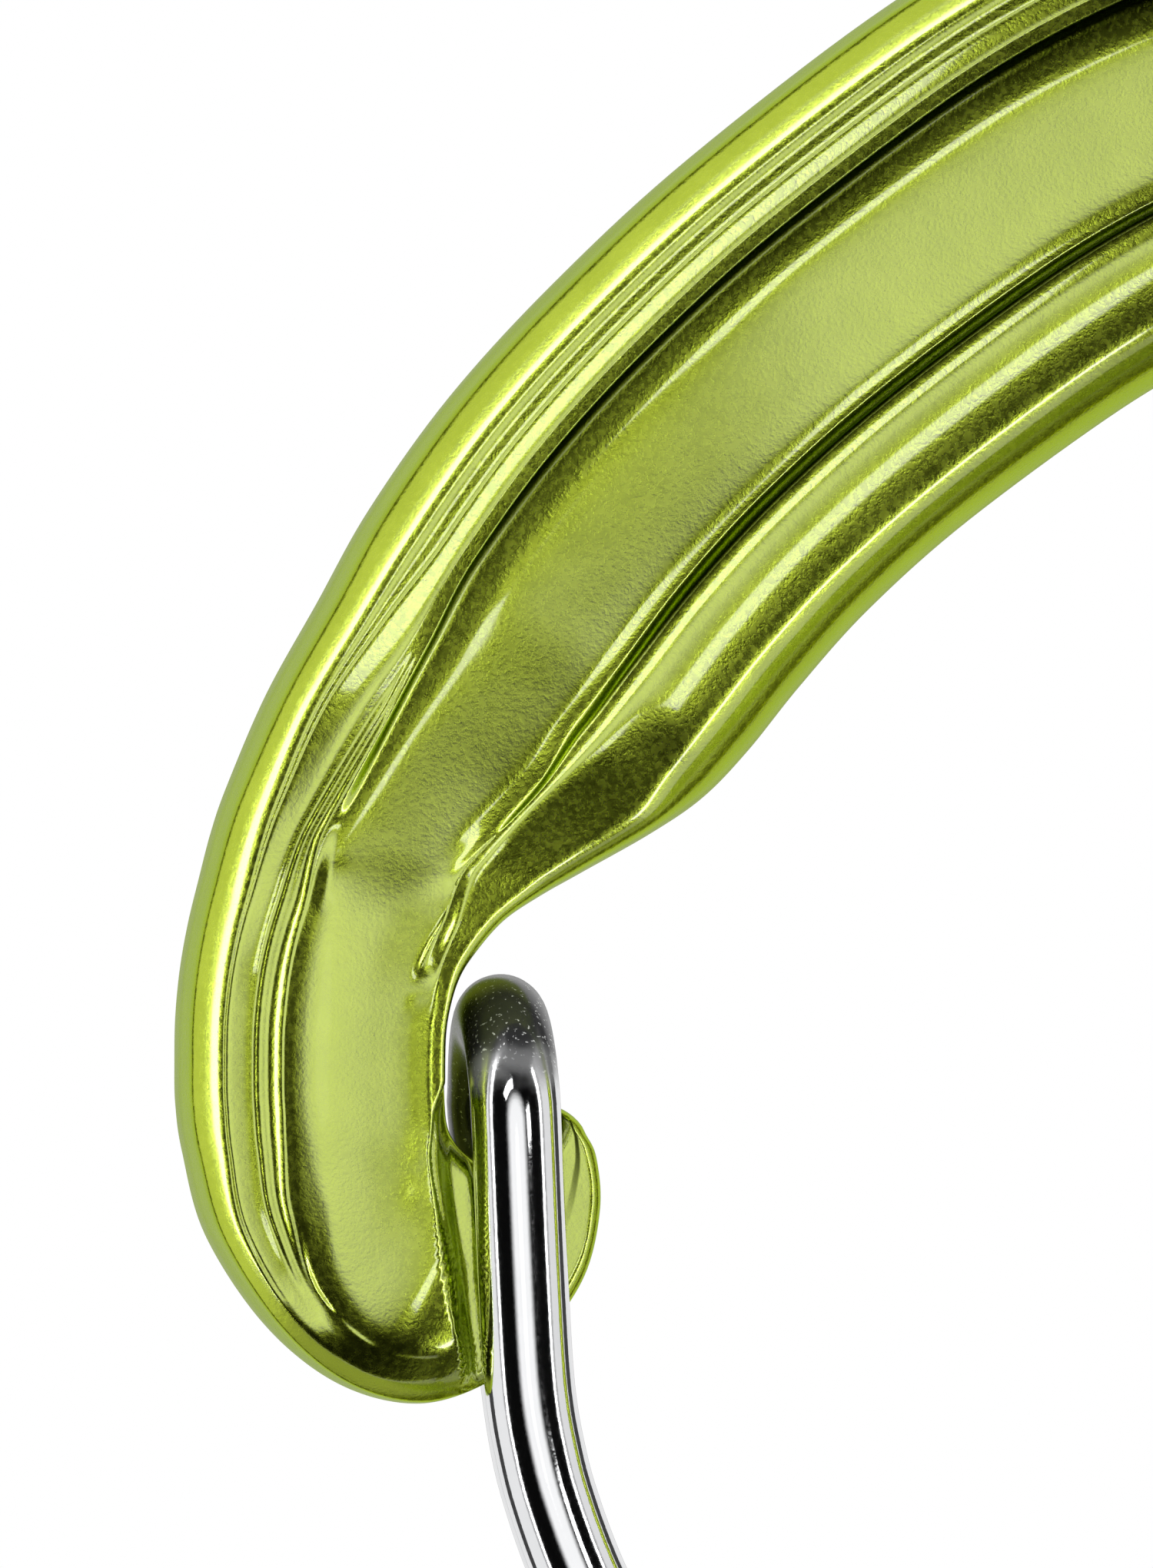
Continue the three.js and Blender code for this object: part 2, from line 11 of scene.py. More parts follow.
import bpy
import numpy as np
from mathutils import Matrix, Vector


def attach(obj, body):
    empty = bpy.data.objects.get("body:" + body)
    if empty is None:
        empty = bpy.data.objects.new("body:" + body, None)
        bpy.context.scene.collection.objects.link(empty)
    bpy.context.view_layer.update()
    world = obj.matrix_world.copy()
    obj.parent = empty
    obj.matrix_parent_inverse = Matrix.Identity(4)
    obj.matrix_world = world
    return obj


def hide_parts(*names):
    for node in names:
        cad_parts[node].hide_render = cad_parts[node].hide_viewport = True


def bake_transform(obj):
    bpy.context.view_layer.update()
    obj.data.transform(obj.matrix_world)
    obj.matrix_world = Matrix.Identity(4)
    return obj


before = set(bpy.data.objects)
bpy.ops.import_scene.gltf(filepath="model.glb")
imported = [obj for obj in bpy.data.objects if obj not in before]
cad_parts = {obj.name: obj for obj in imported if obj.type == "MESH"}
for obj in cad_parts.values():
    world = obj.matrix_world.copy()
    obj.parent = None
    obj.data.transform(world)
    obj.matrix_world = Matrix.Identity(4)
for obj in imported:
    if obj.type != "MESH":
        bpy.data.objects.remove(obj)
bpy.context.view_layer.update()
MM = 0.001

# %% [markdown]
# ## Camera
# The picture is an extreme close-up with a long lens: only 45 mm of the draw fills its height, and
# straight edges stay straight. A long lens far away gives that flat look. The back leg of the wire
# gate peeps out left of the front leg, so the camera stands a few degrees to the left.

# %% Long lens on the nose of the upper carabiner
picture_height, pixels_per_mm = 2040, 45
lens_mm, sensor_mm = 470, 36
view_turn = math.radians(-6.6)
view_target = np.array([-22.99, 0, -13.91]) * MM
view_height = picture_height / pixels_per_mm * MM
view_distance = view_height * lens_mm / sensor_mm


def add_object(name, data):
    """A new object that is linked to the scene."""
    made = bpy.data.objects.new(name, data)
    bpy.context.scene.collection.objects.link(made)
    return made


camera = add_object("camera", bpy.data.cameras.new("camera"))
bpy.context.scene.camera = camera
camera.data.lens = lens_mm
camera.data.sensor_width = sensor_mm
camera.data.clip_start = 0.01
camera.data.clip_end = 100
camera.location = view_target + view_distance * np.array([math.sin(view_turn), -math.cos(view_turn), 0])
camera.rotation_euler = (math.pi / 2, 0, view_turn)
bpy.context.scene.view_settings.view_transform = "Standard"
print("camera", round(view_distance, 3), "m away")

# %% [markdown]
# ## Shader maths
# Finishes are easier to read as sums than as webs of nodes. `Signal` wraps one output socket, and
# its operators add Math nodes, so that `1 - mask * 0.5` works. `Finish.node` makes every other
# node: settings go in first, then the values or links of its sockets.

# %% A class for a socket
def operator(operation, swapped=False):
    """A method that adds one Math node."""
    def method(self, other=None):
        values = [value for value in (self, other) if value is not None]
        if swapped:
            values.reverse()
        return self.finish.node("Math", {"operation": operation}, dict(enumerate(values)))
    return method


class Signal:
    """A number or colour on its way through a material."""

    __add__ = __radd__ = operator("ADD")
    __sub__ = operator("SUBTRACT")
    __rsub__ = operator("SUBTRACT", swapped=True)
    __mul__ = __rmul__ = operator("MULTIPLY")
    __truediv__ = operator("DIVIDE")
    __gt__ = operator("GREATER_THAN")
    __lt__ = operator("LESS_THAN")
    wave = operator("SINE")
    size = operator("ABSOLUTE")
    part = operator("FRACT")
    whole = operator("FLOOR")
    larger = operator("MAXIMUM")

    def __init__(self, finish, socket):
        self.finish = finish
        self.socket = socket

    def between(self, low, high, start=0.0, stop=1.0):
        settings = {"interpolation_type": "SMOOTHSTEP"}
        values = {"Value": self, "From Min": low, "From Max": high, "To Min": start, "To Max": stop}
        return self.finish.node("MapRange", settings, values)


print("signals can", ", ".join(name for name in vars(Signal) if not name.startswith("_")))

# %% [markdown]
# A material needs a few things again and again: a place on the piece in millimetres, noise of a
# real size, a mix of two colours and a bump. `flat` reads two numbers that a mesh keeps at each of
# its points, such as how far along and across a tape a point is.

# %% A class for a material
flat_map = "flat"


class Finish:
    """A material under construction, or the world."""

    def __init__(self, name, shelf=bpy.data.materials):
        self.made = shelf.new(name)
        self.made.use_nodes = True
        self.tree = self.made.node_tree
        self.tree.nodes.clear()

    def node(self, kind, settings=None, inputs=None, output=0):
        node = self.tree.nodes.new("ShaderNode" + kind)
        for key, value in (settings or {}).items():
            setattr(node, key, value)
        for key, value in (inputs or {}).items():
            if isinstance(value, Signal):
                self.tree.links.new(value.socket, node.inputs[key])
            else:
                node.inputs[key].default_value = value
        return Signal(self, node.outputs[output]) if node.outputs else None

    def place(self):
        """Position on the piece in millimetres."""
        at = self.node("TexCoord", output="Object")
        return self.node("VectorMath", {"operation": "SCALE"}, {0: at, "Scale": 1 / MM})

    def flat(self):
        """The two numbers that a mesh keeps at each of its points."""
        return self.node("UVMap", {"uv_map": flat_map})

    def axes(self, vector):
        return [self.node("SeparateXYZ", None, {0: vector}, output) for output in range(3)]

    def grain(self, at, size, detail=2.0, roughness=0.5):
        values = {"Vector": at, "Scale": 1 / size, "Detail": detail, "Roughness": roughness}
        return self.node("TexNoise", {"noise_dimensions": "3D"}, values)

    def tint(self, share, low, high):
        """A mix of two colours, each given as three numbers or as a signal."""
        low, high = (colour if isinstance(colour, Signal) else (*colour, 1) for colour in (low, high))
        return self.node("Mix", {"data_type": "RGBA"}, {0: share, 6: low, 7: high}, 2)

    def bump(self, height, depth, strength):
        values = {"Height": height, "Distance": depth * MM, "Strength": strength}
        return self.node("Bump", None, values)

    def surface(self, **values):
        named = {key.replace("_", " "): value for key, value in values.items()}
        shader = self.node("BsdfPrincipled", None, named)
        self.node("OutputMaterial", None, {"Surface": shader})
        return self.made

    def glow(self, strength):
        light = self.node("Emission", None, {"Color": (1, 1, 1, 1), "Strength": strength})
        self.node("OutputMaterial", None, {"Surface": light})
        return self.made


print("finishes read the map", flat_map)

# %% [markdown]
# ## Anodised aluminium
# The body is hot forged, tumbled and dyed lime green under a thin clear oxide. So the metal itself
# is coloured, with a satin gloss, a fine grain that shows where it turns dark, and the oxide as
# a clear coat. Fine noise moves roughness and colour a little, and a shallow bump makes the grain.
# The steep flanks keep more of the die's dull skin, so the coat is weaker where a face turns away.

# %% Lime-green anodising
lime, lime_deep, painted_crease_shade = (0.53, 0.65, 0.055), (0.45, 0.56, 0.04), (0.03, 0.04, 0.002)


def anodised_metal():
    """The body keeps a 1 in the creases of its web, where the colour is painted dark as painted shade and
    the coat is taken off.
    """
    finish = Finish("anodised_metal")
    at = finish.place()
    cloud = finish.grain(at, size=1.6, detail=3.0, roughness=0.6)
    speck = finish.grain(at, size=0.2, detail=3.0, roughness=0.6)
    pits = finish.grain(at, size=0.1, detail=1.0)
    patch = cloud.between(0.35, 0.7) * 0.6 + speck.between(0.35, 0.7) * 0.4
    crease_shade = finish.axes(finish.flat())[0]
    height = speck * 0.7 + pits * 0.3
    facing = finish.axes(finish.node("TexCoord", output="Normal"))[1].size()
    return finish.surface(
        # Painted shade: the web's creases are tinted near black, and below they also lose their coat.
        Base_Color=finish.tint(crease_shade, finish.tint(patch, lime_deep, lime), painted_crease_shade),
        Metallic=1.0,
        Roughness=speck.between(0.3, 0.75, 0.2, 0.28) + cloud * 0.05,
        Coat_Weight=facing.between(0.69, 0.76, 0.15, 1.0) * (1 - crease_shade),
        Coat_Roughness=0.07,
        Coat_IOR=1.9,
        Specular_Tint=(0.55, 0.68, 0.1, 1),
        Normal=finish.bump(height, depth=0.035, strength=0.3),
    )


anodised = anodised_metal()
print("material", anodised.name)

# %% [markdown]
# ## Polished wire
# The gate is drawn stainless wire. Its drawing marks run along the wire and barely show, so it is a
# near mirror whose stripes are the dark and bright parts of the studio. Round the bend at its tip
# the wire is a little rough and less metallic, and its colour is painted near black as painted
# shade, with a few lighter specks.

# %% Stainless steel wire
def polished_wire():
    """The wire keeps its distance in millimetres past the middle of the bend."""
    finish = Finish("polished_wire")
    at = finish.place()
    smear = finish.grain(at, size=0.9)
    scuff = finish.grain(at, size=0.12)
    past_bend = finish.axes(finish.flat())[0] + smear
    bent = past_bend.between(-3.6, -2.2) * past_bend.between(7.0, 10.5, 1.0, 0.0)
    # Painted shade: round the bend the colour goes near black, lighter where the scuff noise is high.
    painted_bend_shade = bent * scuff.between(0.62, 0.72, 1.0, 0.25)
    bright = finish.tint(smear, (0.78, 0.79, 0.80), (0.86, 0.86, 0.87))
    return finish.surface(
        Base_Color=finish.tint(painted_bend_shade, bright, (0.035, 0.035, 0.037)),
        Metallic=1 - bent * 0.8,
        Roughness=scuff.between(0.3, 0.8, 0.05, 0.1) + bent * 0.15,
        Normal=finish.bump(scuff, depth=0.004, strength=0.2),
    )


steel = polished_wire()
print("material", steel.name)

# %% [markdown]
# ## Sizes of the forging
# These are the real sizes that the frame was built with, in millimetres. The carabiner is drawn
# in its own plane first, with its left edge at x = 0 and its lowest point at z = 0, and moved so
# that the origin is where the bolt hanger bears.

# %% Driving sizes of one carabiner
body_width, body_height = 52.5, 100
neck_depth, shoulder_depth, basket_depth = 7.6, 13.2, 13.4
spine_depth, bar_depth = 9.5, 9.5
corner_radius, basket_radius, bar_inner_radius = 18, 7.5, 10.5
spine_lean, bearing_flat, head_rise = 0.5, 2, 6.4
nose_half, bar_half = 3.8, 3.9
tongue_half, lug_half = 1.45, 2.1
notch_height_share, pivot_rise = 0.633, 2.3
wire_diameter = 2.6
draw_length = 120
touch_gap = 0.3

wire_radius = wire_diameter / 2
bar_mid_radius = bar_inner_radius + bar_depth / 2
bar_outer_radius = bar_inner_radius + bar_depth
bar_centre = np.array([body_width - spine_lean - bar_outer_radius, bar_outer_radius])
corner_centre = np.array([body_width - corner_radius, body_height - corner_radius])
basket_centre = np.array([
    body_width - spine_depth - basket_radius,
    body_height - basket_depth - basket_radius,
])
bearing = np.array([basket_centre[0] - bearing_flat / 2, body_height - basket_depth])
notch_radius = wire_radius + touch_gap
notch_centre = np.array([neck_depth + notch_radius, notch_height_share * body_height])
pivot = np.array([bar_centre[0] - bar_mid_radius, bar_centre[1] + pivot_rise])
bar_drop = bearing[1] - bar_centre[1] + bar_mid_radius
draw_middle = -bar_drop - draw_length / 2


def polar(centre, radius, degrees):
    turn = math.radians(degrees)
    return centre + radius * np.array([math.cos(turn), math.sin(turn)])


def smooth_share(value, low, high):
    """0 below low, 1 above high and an even S between them."""
    t = np.clip((value - low) / (high - low), 0, 1)
    return t * t * (3 - 2 * t)


print("the pivot is", np.round(pivot - bearing, 2), "mm from the origin")

# %% [markdown]
# ## Helpers for meshes
# Every fine surface here is a grid of points: rings round a body, a wire or a band. One function
# turns such rings into a closed mesh, and one makes the lower copy of a piece, which is the
# upper one turned half round about X.

# %% Rings to meshes
def ring_faces(rings, count, closed):
    """Quads between rings of count points, with a cap at each end unless the rings close."""
    faces = []
    for r in range(rings if closed else rings - 1):
        here = r * count
        there = (r + 1) % rings * count
        for k in range(count):
            n = (k + 1) % count
            faces.append((here + k, here + n, there + n, there + k))
    if not closed:
        faces.append(tuple(reversed(range(count))))
        faces.append(tuple(range((rings - 1) * count, rings * count)))
    return faces


def outward(points, faces):
    """The faces, turned over if they enclose a negative volume."""
    fans = [(f[0], f[i], f[i + 1]) for f in faces for i in range(1, len(f) - 1)]
    a, b, c = (points[[f[i] for f in fans]] for i in range(3))
    volume = np.einsum("ij,ij->i", a, np.cross(b, c)).sum()
    return faces if volume > 0 else [tuple(reversed(f)) for f in faces]


def ring_mesh(rings, flat, closed=False):
    """A mesh as points, faces and the two numbers that its material reads at each point."""
    points = rings.reshape(-1, 3)
    return points, outward(points, ring_faces(*rings.shape[:2], closed)), flat


def joined(meshes):
    """Several meshes as one."""
    faces, first = [], 0
    for points, part_faces, _ in meshes:
        faces += [tuple(first + k for k in face) for face in part_faces]
        first += len(points)
    points, _, flats = zip(*meshes)
    return np.concatenate(points), faces, np.concatenate(flats)


def lower_copy(points):
    """The same points on the lower half of the draw."""
    turned = points * np.array([1, -1, -1])
    turned[:, 2] += 2 * draw_middle
    return turned


def new_piece(name, shape, material):
    """A smooth-shaded mesh object from a mesh in millimetres."""
    points, faces, flat = shape
    mesh = bpy.data.meshes.new(name)
    mesh.from_pydata((points * MM).tolist(), [], faces)
    if flat is not None:
        corners = np.empty(len(mesh.loops), np.int32)
        mesh.loops.foreach_get("vertex_index", corners)
        layer = mesh.uv_layers.new(name=flat_map)
        layer.data.foreach_set("uv", flat.astype(np.float32)[corners].ravel())
    mesh.shade_smooth()
    mesh.materials.append(material)
    piece = add_object(name, mesh)
    return piece


def both_ends(name, shape, material):
    """The same piece on both halves of the draw, as pairs of a place and a piece."""
    points, *rest = shape
    for place, there in (("upper", points), ("lower", lower_copy(points))):
        yield place, new_piece(f"{place}_{name}", (there, *rest), material)


def gone_along(points):
    """How far each point of a route is from its start."""
    return np.concatenate([[0], np.cumsum(np.linalg.norm(np.diff(points, axis=0), axis=1))])


def headings(line):
    """The direction of a route at each of its points."""
    ahead = np.gradient(line, axis=0)
    return ahead / np.linalg.norm(ahead, axis=1, keepdims=True)


def spline(points, steps):
    """A Catmull-Rom curve through rows of points, with steps[i] pieces from row i on."""
    rows = np.asarray(points, float)
    padded = np.vstack([2 * rows[0] - rows[1], rows, 2 * rows[-1] - rows[-2]])
    curve = []
    for i, count in enumerate(steps):
        p0, p1, p2, p3 = padded[i:i + 4]
        for t in np.arange(count) / count:
            curve.append(
                p1 + (p2 - p0) * t / 2
                + (2 * p0 - 5 * p1 + 4 * p2 - p3) * t ** 2 / 2
                + (3 * p1 - p0 - 3 * p2 + p3) * t ** 3 / 2
            )
    curve.append(rows[-1])
    return np.array(curve)


print("mesh helpers ready")

# %% [markdown]
# ## The forged body
# A forging die gives this body its looks: two rolled flanges with a thin web between them on the
# shoulder, which melt into a solid nose. I draw it as ribs across the bar. Each rib has an outer
# and an inner end in the carabiner's plane. Some ribs also name a section: how high the surface
# stands at each feature line, such as a crown, a crease or the foot of a wall. In between, the
# sections blend, so each feature runs on as one line along the body, as it does in the die.

# %% Ribs of the hook and the shoulder, in shares of the body's width and height
hook_shares = [
    (352, 0.222, 0.6265),
    (344, 0.2285, 0.619),
    (335, 0.2305, 0.604),
    (320, 0.222, 0.585),
    (300, 0.2, 0.568),
    (285, 0.1715, 0.555),
    (270, 0.1315, 0.548),
    (255, 0.088, 0.5536),
    (240, 0.0495, 0.57),
    (220, 0.017, 0.596),
    (200, 0.004, 0.62),
]
shoulder_shares = [
    (0.0, 0.634, 0, neck_depth, 1.0),
    (-0.0005, 0.647, 0, neck_depth, 1.0),
    (0.0, 0.66, -1, neck_depth, 1.006),
    (0.0025, 0.6736, -2.6, neck_depth, 1.03),
    (0.007, 0.687, -6.3, neck_depth, 1.071),
    (0.013, 0.7, -8.4, neck_depth, 1.147),
    (0.02, 0.7136, -11.5, shoulder_depth, 0.724),
    (0.029, 0.727, -14.4, shoulder_depth, 0.788),
    (0.051, 0.7536, -20.6, shoulder_depth, 0.886),
    (0.079, 0.78, -27.4, shoulder_depth, 0.94),
    (0.1075, 0.807, -33, shoulder_depth, 0.98),
    (0.1525, 0.84, -40.2, shoulder_depth, 0.993),
    (0.2115, 0.8736, -47.2, shoulder_depth, 0.993),
    (0.286, 0.9095, -53.4, shoulder_depth, 1.004),
    (0.396, 0.9536, -60.8, shoulder_depth, 1.025),
    (0.486, 0.98, -68, basket_depth, 1.015),
    (0.571, 0.9955, -77.6, basket_depth, 1.007),
]
head_roundness = 0.96


def body_ribs():
    """Rows of outer x and z, then inner x and z, and the number of steps to the next row."""
    rows, steps = [], []

    def rib(outer, inner, pieces):
        rows.append([*outer, *inner])
        steps.append(pieces)

    for angle, x, z in hook_shares:
        outer = (x * body_width, z * body_height)
        rib(outer, polar(notch_centre, notch_radius, angle), pieces=20 if 225 < angle < 320 else 10)
    for x, z, angle, size, share in shoulder_shares:
        outer = np.array([x * body_width, z * body_height])
        rib(outer, polar(outer, size * share, angle), pieces=9)
    flat_end = basket_centre[0] - bearing_flat
    rib((corner_centre[0] - bearing_flat, body_height), (flat_end, bearing[1]), pieces=4)
    for angle in np.linspace(90, 0, 8):
        outer = polar(corner_centre, corner_radius, angle)
        rib(outer, polar(basket_centre, basket_radius, angle), pieces=4)
    bar_end = polar(bar_centre, bar_outer_radius, 0)
    for share in np.arange(1, 7) / 7:
        outer = (body_width + (bar_end[0] - body_width) * share,
                 corner_centre[1] + (bar_end[1] - corner_centre[1]) * share)
        inner = (outer[0] - spine_depth, basket_centre[1] + (bar_end[1] - basket_centre[1]) * share)
        rib(outer, inner, pieces=3)
    for angle in range(0, -190, -10):
        outer = polar(bar_centre, bar_outer_radius, angle)
        rib(outer, polar(bar_centre, bar_inner_radius, angle), pieces=2)
    head_x, head_z = polar(bar_centre, bar_mid_radius, 180)
    head_z += head_rise - bar_depth / 2 + pivot_rise
    for share in (0, 0.3, 0.55, 0.75, 0.9, 1):
        reach = bar_depth / 2 * math.sqrt(1 - (share * head_roundness) ** 2)
        level = head_z + bar_depth / 2 * share
        rib((head_x - reach, level), (head_x + reach, level), pieces=5)
    return np.array(rows), steps


rib_rows, rib_steps = body_ribs()
print(len(rib_rows), "ribs")

# %% [markdown]
# Each section is a row of facets from the outer edge to the inner edge. A facet has the share of
# the way across where it ends, and its lean in degrees: plus faces outward, minus faces inward.
# The leans are read from the shine in the picture, so they count from the lens axis, and the
# camera's small turn is added where the ribs run across the picture. The section also has the
# heights in millimetres of its first crown, its web and its crest. The facets give the shape round
# each of these three, and the two walls between them, whose leans are 0 here, take up the rest.

# %% Sections of the die, from the horn of the hook to the plain bar
feature_names = [
    "edge", "rim low", "rim step", "first crown", "first crown end", "dip", "second crown",
    "second crown end", "first line", "first line top", "second line", "second line end",
    "wall top", "wall foot", "web start", "web", "web far", "web end", "groove", "groove top",
    "crest", "crest end", "flange", "flange end", "inner rim", "inner edge",
]
roundness = [0.5, 0.25, 0.4, 0.3, 0.35, 0.35, 0.35,
             0.35, 0.35, 0.4, 0.35, 0.35,
             0.3, 0.3, 0.35, 0.6, 0.35, 0.4, 0.3, 0.3,
             0.25, 0.3, 0.5, 0.3, 0.4, 0.5]
edge_height = 0.55
level_groups = [(0, 4, 13), (13, 15, 19), (19, 21, len(feature_names))]
section_facets = {
    "hook": ((2.35, 2.95, 2.81), [
        (.014, 70), (.04, 58), (.07, 46), (.1, 34), (.13, 27), (.15, 24), (.17, 22), (.19, 21), (.21, 20),
        (.23, 19), (.25, 18), (.27, 17), (.29, 0), (.32, 14), (.38, 10), (.46, 5), (.62, 0), (.72, -6),
        (.77, 0), (.81, -10), (.84, -12), (.87, -16), (.93, -30), (.975, -48), (1, 0)]),
    "hook side": ((3.08, 3.76, 3.645), [
        (.012, 70), (.03, 52), (.05, 48), (.068, 45), (.076, 40), (.085, 30), (.1, 25), (.115, 24),
        (.13, 24), (.145, 23), (.16, 23), (.175, 22), (.19, 0), (.22, 17), (.28, 10), (.45, 3), (.62, -2),
        (.72, -4), (.77, 0), (.81, -7), (.84, -9), (.87, -12), (.93, -25), (.97, -45), (1, 0)]),
    "nose tip": ((3.32, 3.88, 3.776), [
        (.012, 70), (.03, 50), (.046, 46), (.066, 42), (.08, 16), (.092, 8), (.12, 2), (.14, 0),
        (.155, 1), (.17, 3), (.182, 8), (.195, 14), (.21, 0), (.27, 17), (.33, 10), (.48, 2), (.62, -1),
        (.71, -4), (.77, 0), (.81, -8), (.84, -9), (.87, -10), (.92, -22), (.965, -42), (1, 0)]),
    "nose low": ((3.45, 4.0, 3.91), [
        (.012, 70), (.033, 48), (.052, 42), (.085, 33.2), (.1, -24), (.108, 24), (.165, -7), (.195, -20),
        (.21, 33.2), (.24, -12), (.27, 33.2), (.284, -4), (.32, 0), (.4, 11.5), (.44, 8), (.58, 1),
        (.7, -2), (.765, -8), (.8, 0), (.83, -9), (.87, -10), (.9, -33), (.93, -24), (.965, -38), (1, 0)]),
    "nose": ((3.45, 4.1, 3.966), [
        (.012, 70), (.035, 48), (.06, 42), (.122, 33.2), (.133, -26), (.142, 24), (.213, -8), (.238, -20),
        (.258, 33.2), (.295, -12), (.34, 33.2), (.35, -4), (.378, 0), (.43, 11.5), (.495, 7), (.62, 1),
        (.75, -2), (.785, -8), (.82, 0), (.86, -14), (.895, -15.5), (.915, -33), (.94, -24), (.966, -34),
        (1, 0)]),
    "neck": ((3.5, 4.03, 4.1), [
        (.012, 70), (.035, 48), (.055, 42), (.118, 33.2), (.132, -24), (.14, 24), (.2, 2), (.23, -21),
        (.247, 33.2), (.285, -12), (.317, 33.2), (.33, -10), (.37, 0), (.41, 9), (.46, 5), (.6, 0),
        (.73, -5), (.775, -12), (.792, 0), (.815, 24), (.838, 33.2), (.858, -22), (.92, -21), (.966, -42),
        (1, 0)]),
    "throat": ((3.68, 3.8, 4.06), [
        (.01, 70), (.033, 48), (.048, 42), (.1, 33.2), (.118, -24), (.126, 24), (.183, 8), (.208, -22),
        (.223, 33.2), (.241, -22), (.26, 33.2), (.276, -22), (.305, 0), (.33, -18), (.375, -12),
        (.58, -2), (.655, 6), (.69, 14.5), (.695, 0), (.704, 24), (.727, 14.5), (.8, -22), (.91, -21),
        (.966, -44), (1, 0)]),
    "web root": ((3.95, 3.38, 4.18), [
        (.01, 70), (.033, 48), (.042, 42), (.082, 33.2), (.104, -24), (.112, 24), (.18, 13), (.212, -20),
        (.224, 25), (.238, -24), (.247, 25), (.257, -24), (.268, 0), (.31, -24), (.352, -16.5), (.59, 0),
        (.655, 13), (.667, 26), (.672, 0), (.68, 24), (.695, 14.5), (.8, -23), (.92, -21), (.97, -50),
        (1, 0)]),
    "shoulder": ((4.1, 3.06, 4.26), [
        (.01, 70), (.033, 48), (.045, 42), (.086, 33.2), (.118, -22), (.127, 24), (.188, 14.5),
        (.205, -20), (.212, -22), (.218, -22), (.226, -23), (.238, -24), (.242, 0), (.3, -24),
        (.352, -16.5), (.575, 0), (.614, 13), (.64, 26), (.646, 0), (.668, 24), (.696, 14.5), (.8, -21),
        (.885, -22), (.96, -51), (1, 0)]),
    "beam low": ((4.18, 2.75, 4.28), [
        (.01, 70), (.035, 49), (.052, 43), (.098, 33.2), (.145, -22), (.154, 24), (.19, 14.5), (.2, -22),
        (.205, -22), (.21, -22), (.218, -23), (.225, -25), (.229, 0), (.298, -24), (.35, -16.5),
        (.575, 0), (.622, 13), (.64, 26), (.647, 0), (.67, 24), (.702, 14.5), (.775, -10), (.875, -22),
        (.955, -52), (1, 0)]),
    "beam": ((4.2, 1.9, 4.25), [
        (.01, 70), (.035, 49), (.053, 43), (.1, 33.2), (.145, -22), (.154, 24), (.19, 14.5), (.2, -22),
        (.205, -22), (.21, -22), (.218, -23), (.225, -25), (.229, 0), (.298, -24), (.35, -16.5), (.59, 0),
        (.632, 13), (.65, 26), (.657, 0), (.68, 24), (.712, 14.5), (.785, -9), (.885, -22), (.955, -52),
        (1, 0)]),
}
section_facets["spine"] = ((3.92, 1.8, 3.9), section_facets["beam"][1])
print(len(section_facets), "sections of", len(feature_names), "feature lines")

# %% [markdown]
# The bottom bar is plain and round, so its section comes from a formula instead. Then each section
# gets its place along the ribs, and a curve runs through every column of the table. Its slopes are
# held back, so that no line of the die swings past the sections that it joins.

# %% Feature lines along the body
flat_leans, picture_end = (4, 10), (25, 30)


def round_facets(depth, half):
    """Facets of a plain round bar."""
    turns = np.pi * np.arange(len(feature_names)) / (len(feature_names) - 1)
    share = (1 - np.cos(turns)) / 2
    height = edge_height + (half - edge_height) * np.sin(turns) ** 0.8
    lean = np.degrees(np.arctan2(np.diff(height), np.diff(share) * depth))
    return [height[feature] for _, feature, _ in level_groups], list(zip(share[1:], lean))


section_facets["horn"] = round_facets(neck_depth, nose_half)
section_facets["bar"] = round_facets(bar_depth, bar_half)
section_places = [
    (0, "horn"), (2, "horn"), (5, "hook"), (7, "hook side"), (8, "nose tip"), (9, "nose low"),
    (11, "nose"), (13, "nose"), (15.5, "neck"), (17.5, "throat"), (19, "web root"), (20, "shoulder"),
    (21, "beam low"), (24, "beam"), (28, "beam"), (35, "spine"), (40, "spine"), (43, "bar"),
    (len(rib_rows) - 1, "bar"),
]


def steady_slopes(table, places):
    """Slopes for a curve through rows of a table that never swings past its rows."""
    rise = np.diff(table, axis=0) / np.diff(places)[:, None]
    before, after = rise[:-1], rise[1:]
    same_way = before * after > 0
    mean = np.where(same_way, 2 * before * after / np.where(same_way, before + after, 1), 0)
    flat = np.zeros((1, table.shape[1]))
    return np.vstack([flat, mean, flat])


def eased(table, places, along):
    """Rows of a table at each distance along the body, eased from one place to the next."""
    index = np.clip(np.searchsorted(places, along, side="right") - 1, 0, len(places) - 2)
    span = (places[index + 1] - places[index])[:, None]
    t = (along - places[index])[:, None] / span
    slope = steady_slopes(table, places)
    return (
        table[index] * (2 * t ** 3 - 3 * t ** 2 + 1)
        + slope[index] * span * (t ** 3 - 2 * t ** 2 + t)
        + table[index + 1] * (3 * t ** 2 - 2 * t ** 3)
        + slope[index + 1] * span * (t ** 3 - t ** 2)
    )


def sections_along(stations, along, depth, turn_across):
    """Feature shares, and heights in millimetres, at each station."""
    places = np.interp([place for place, _ in section_places], stations, along)
    levels, facets = zip(*(section_facets[name] for _, name in section_places))
    shares, leans = np.moveaxis(np.array(facets), 2, 0)
    share_rows = np.pad(eased(shares, places, along), ((0, 0), (1, 0)))
    lean_rows = eased(leans, places, along)
    turned = lean_rows + turn_across * smooth_share(np.abs(lean_rows), *flat_leans)
    rise = np.diff(share_rows, axis=1) * depth * np.tan(np.radians(turned))
    height = np.hstack([np.zeros((len(stations), 1)), np.cumsum(rise, axis=1)])
    for level, (first, feature, last) in zip(eased(np.array(levels), places, along).T, level_groups):
        height[:, first:last] += (level - height[:, feature])[:, None]
    height[:, [0, -1]] = edge_height
    return share_rows, height


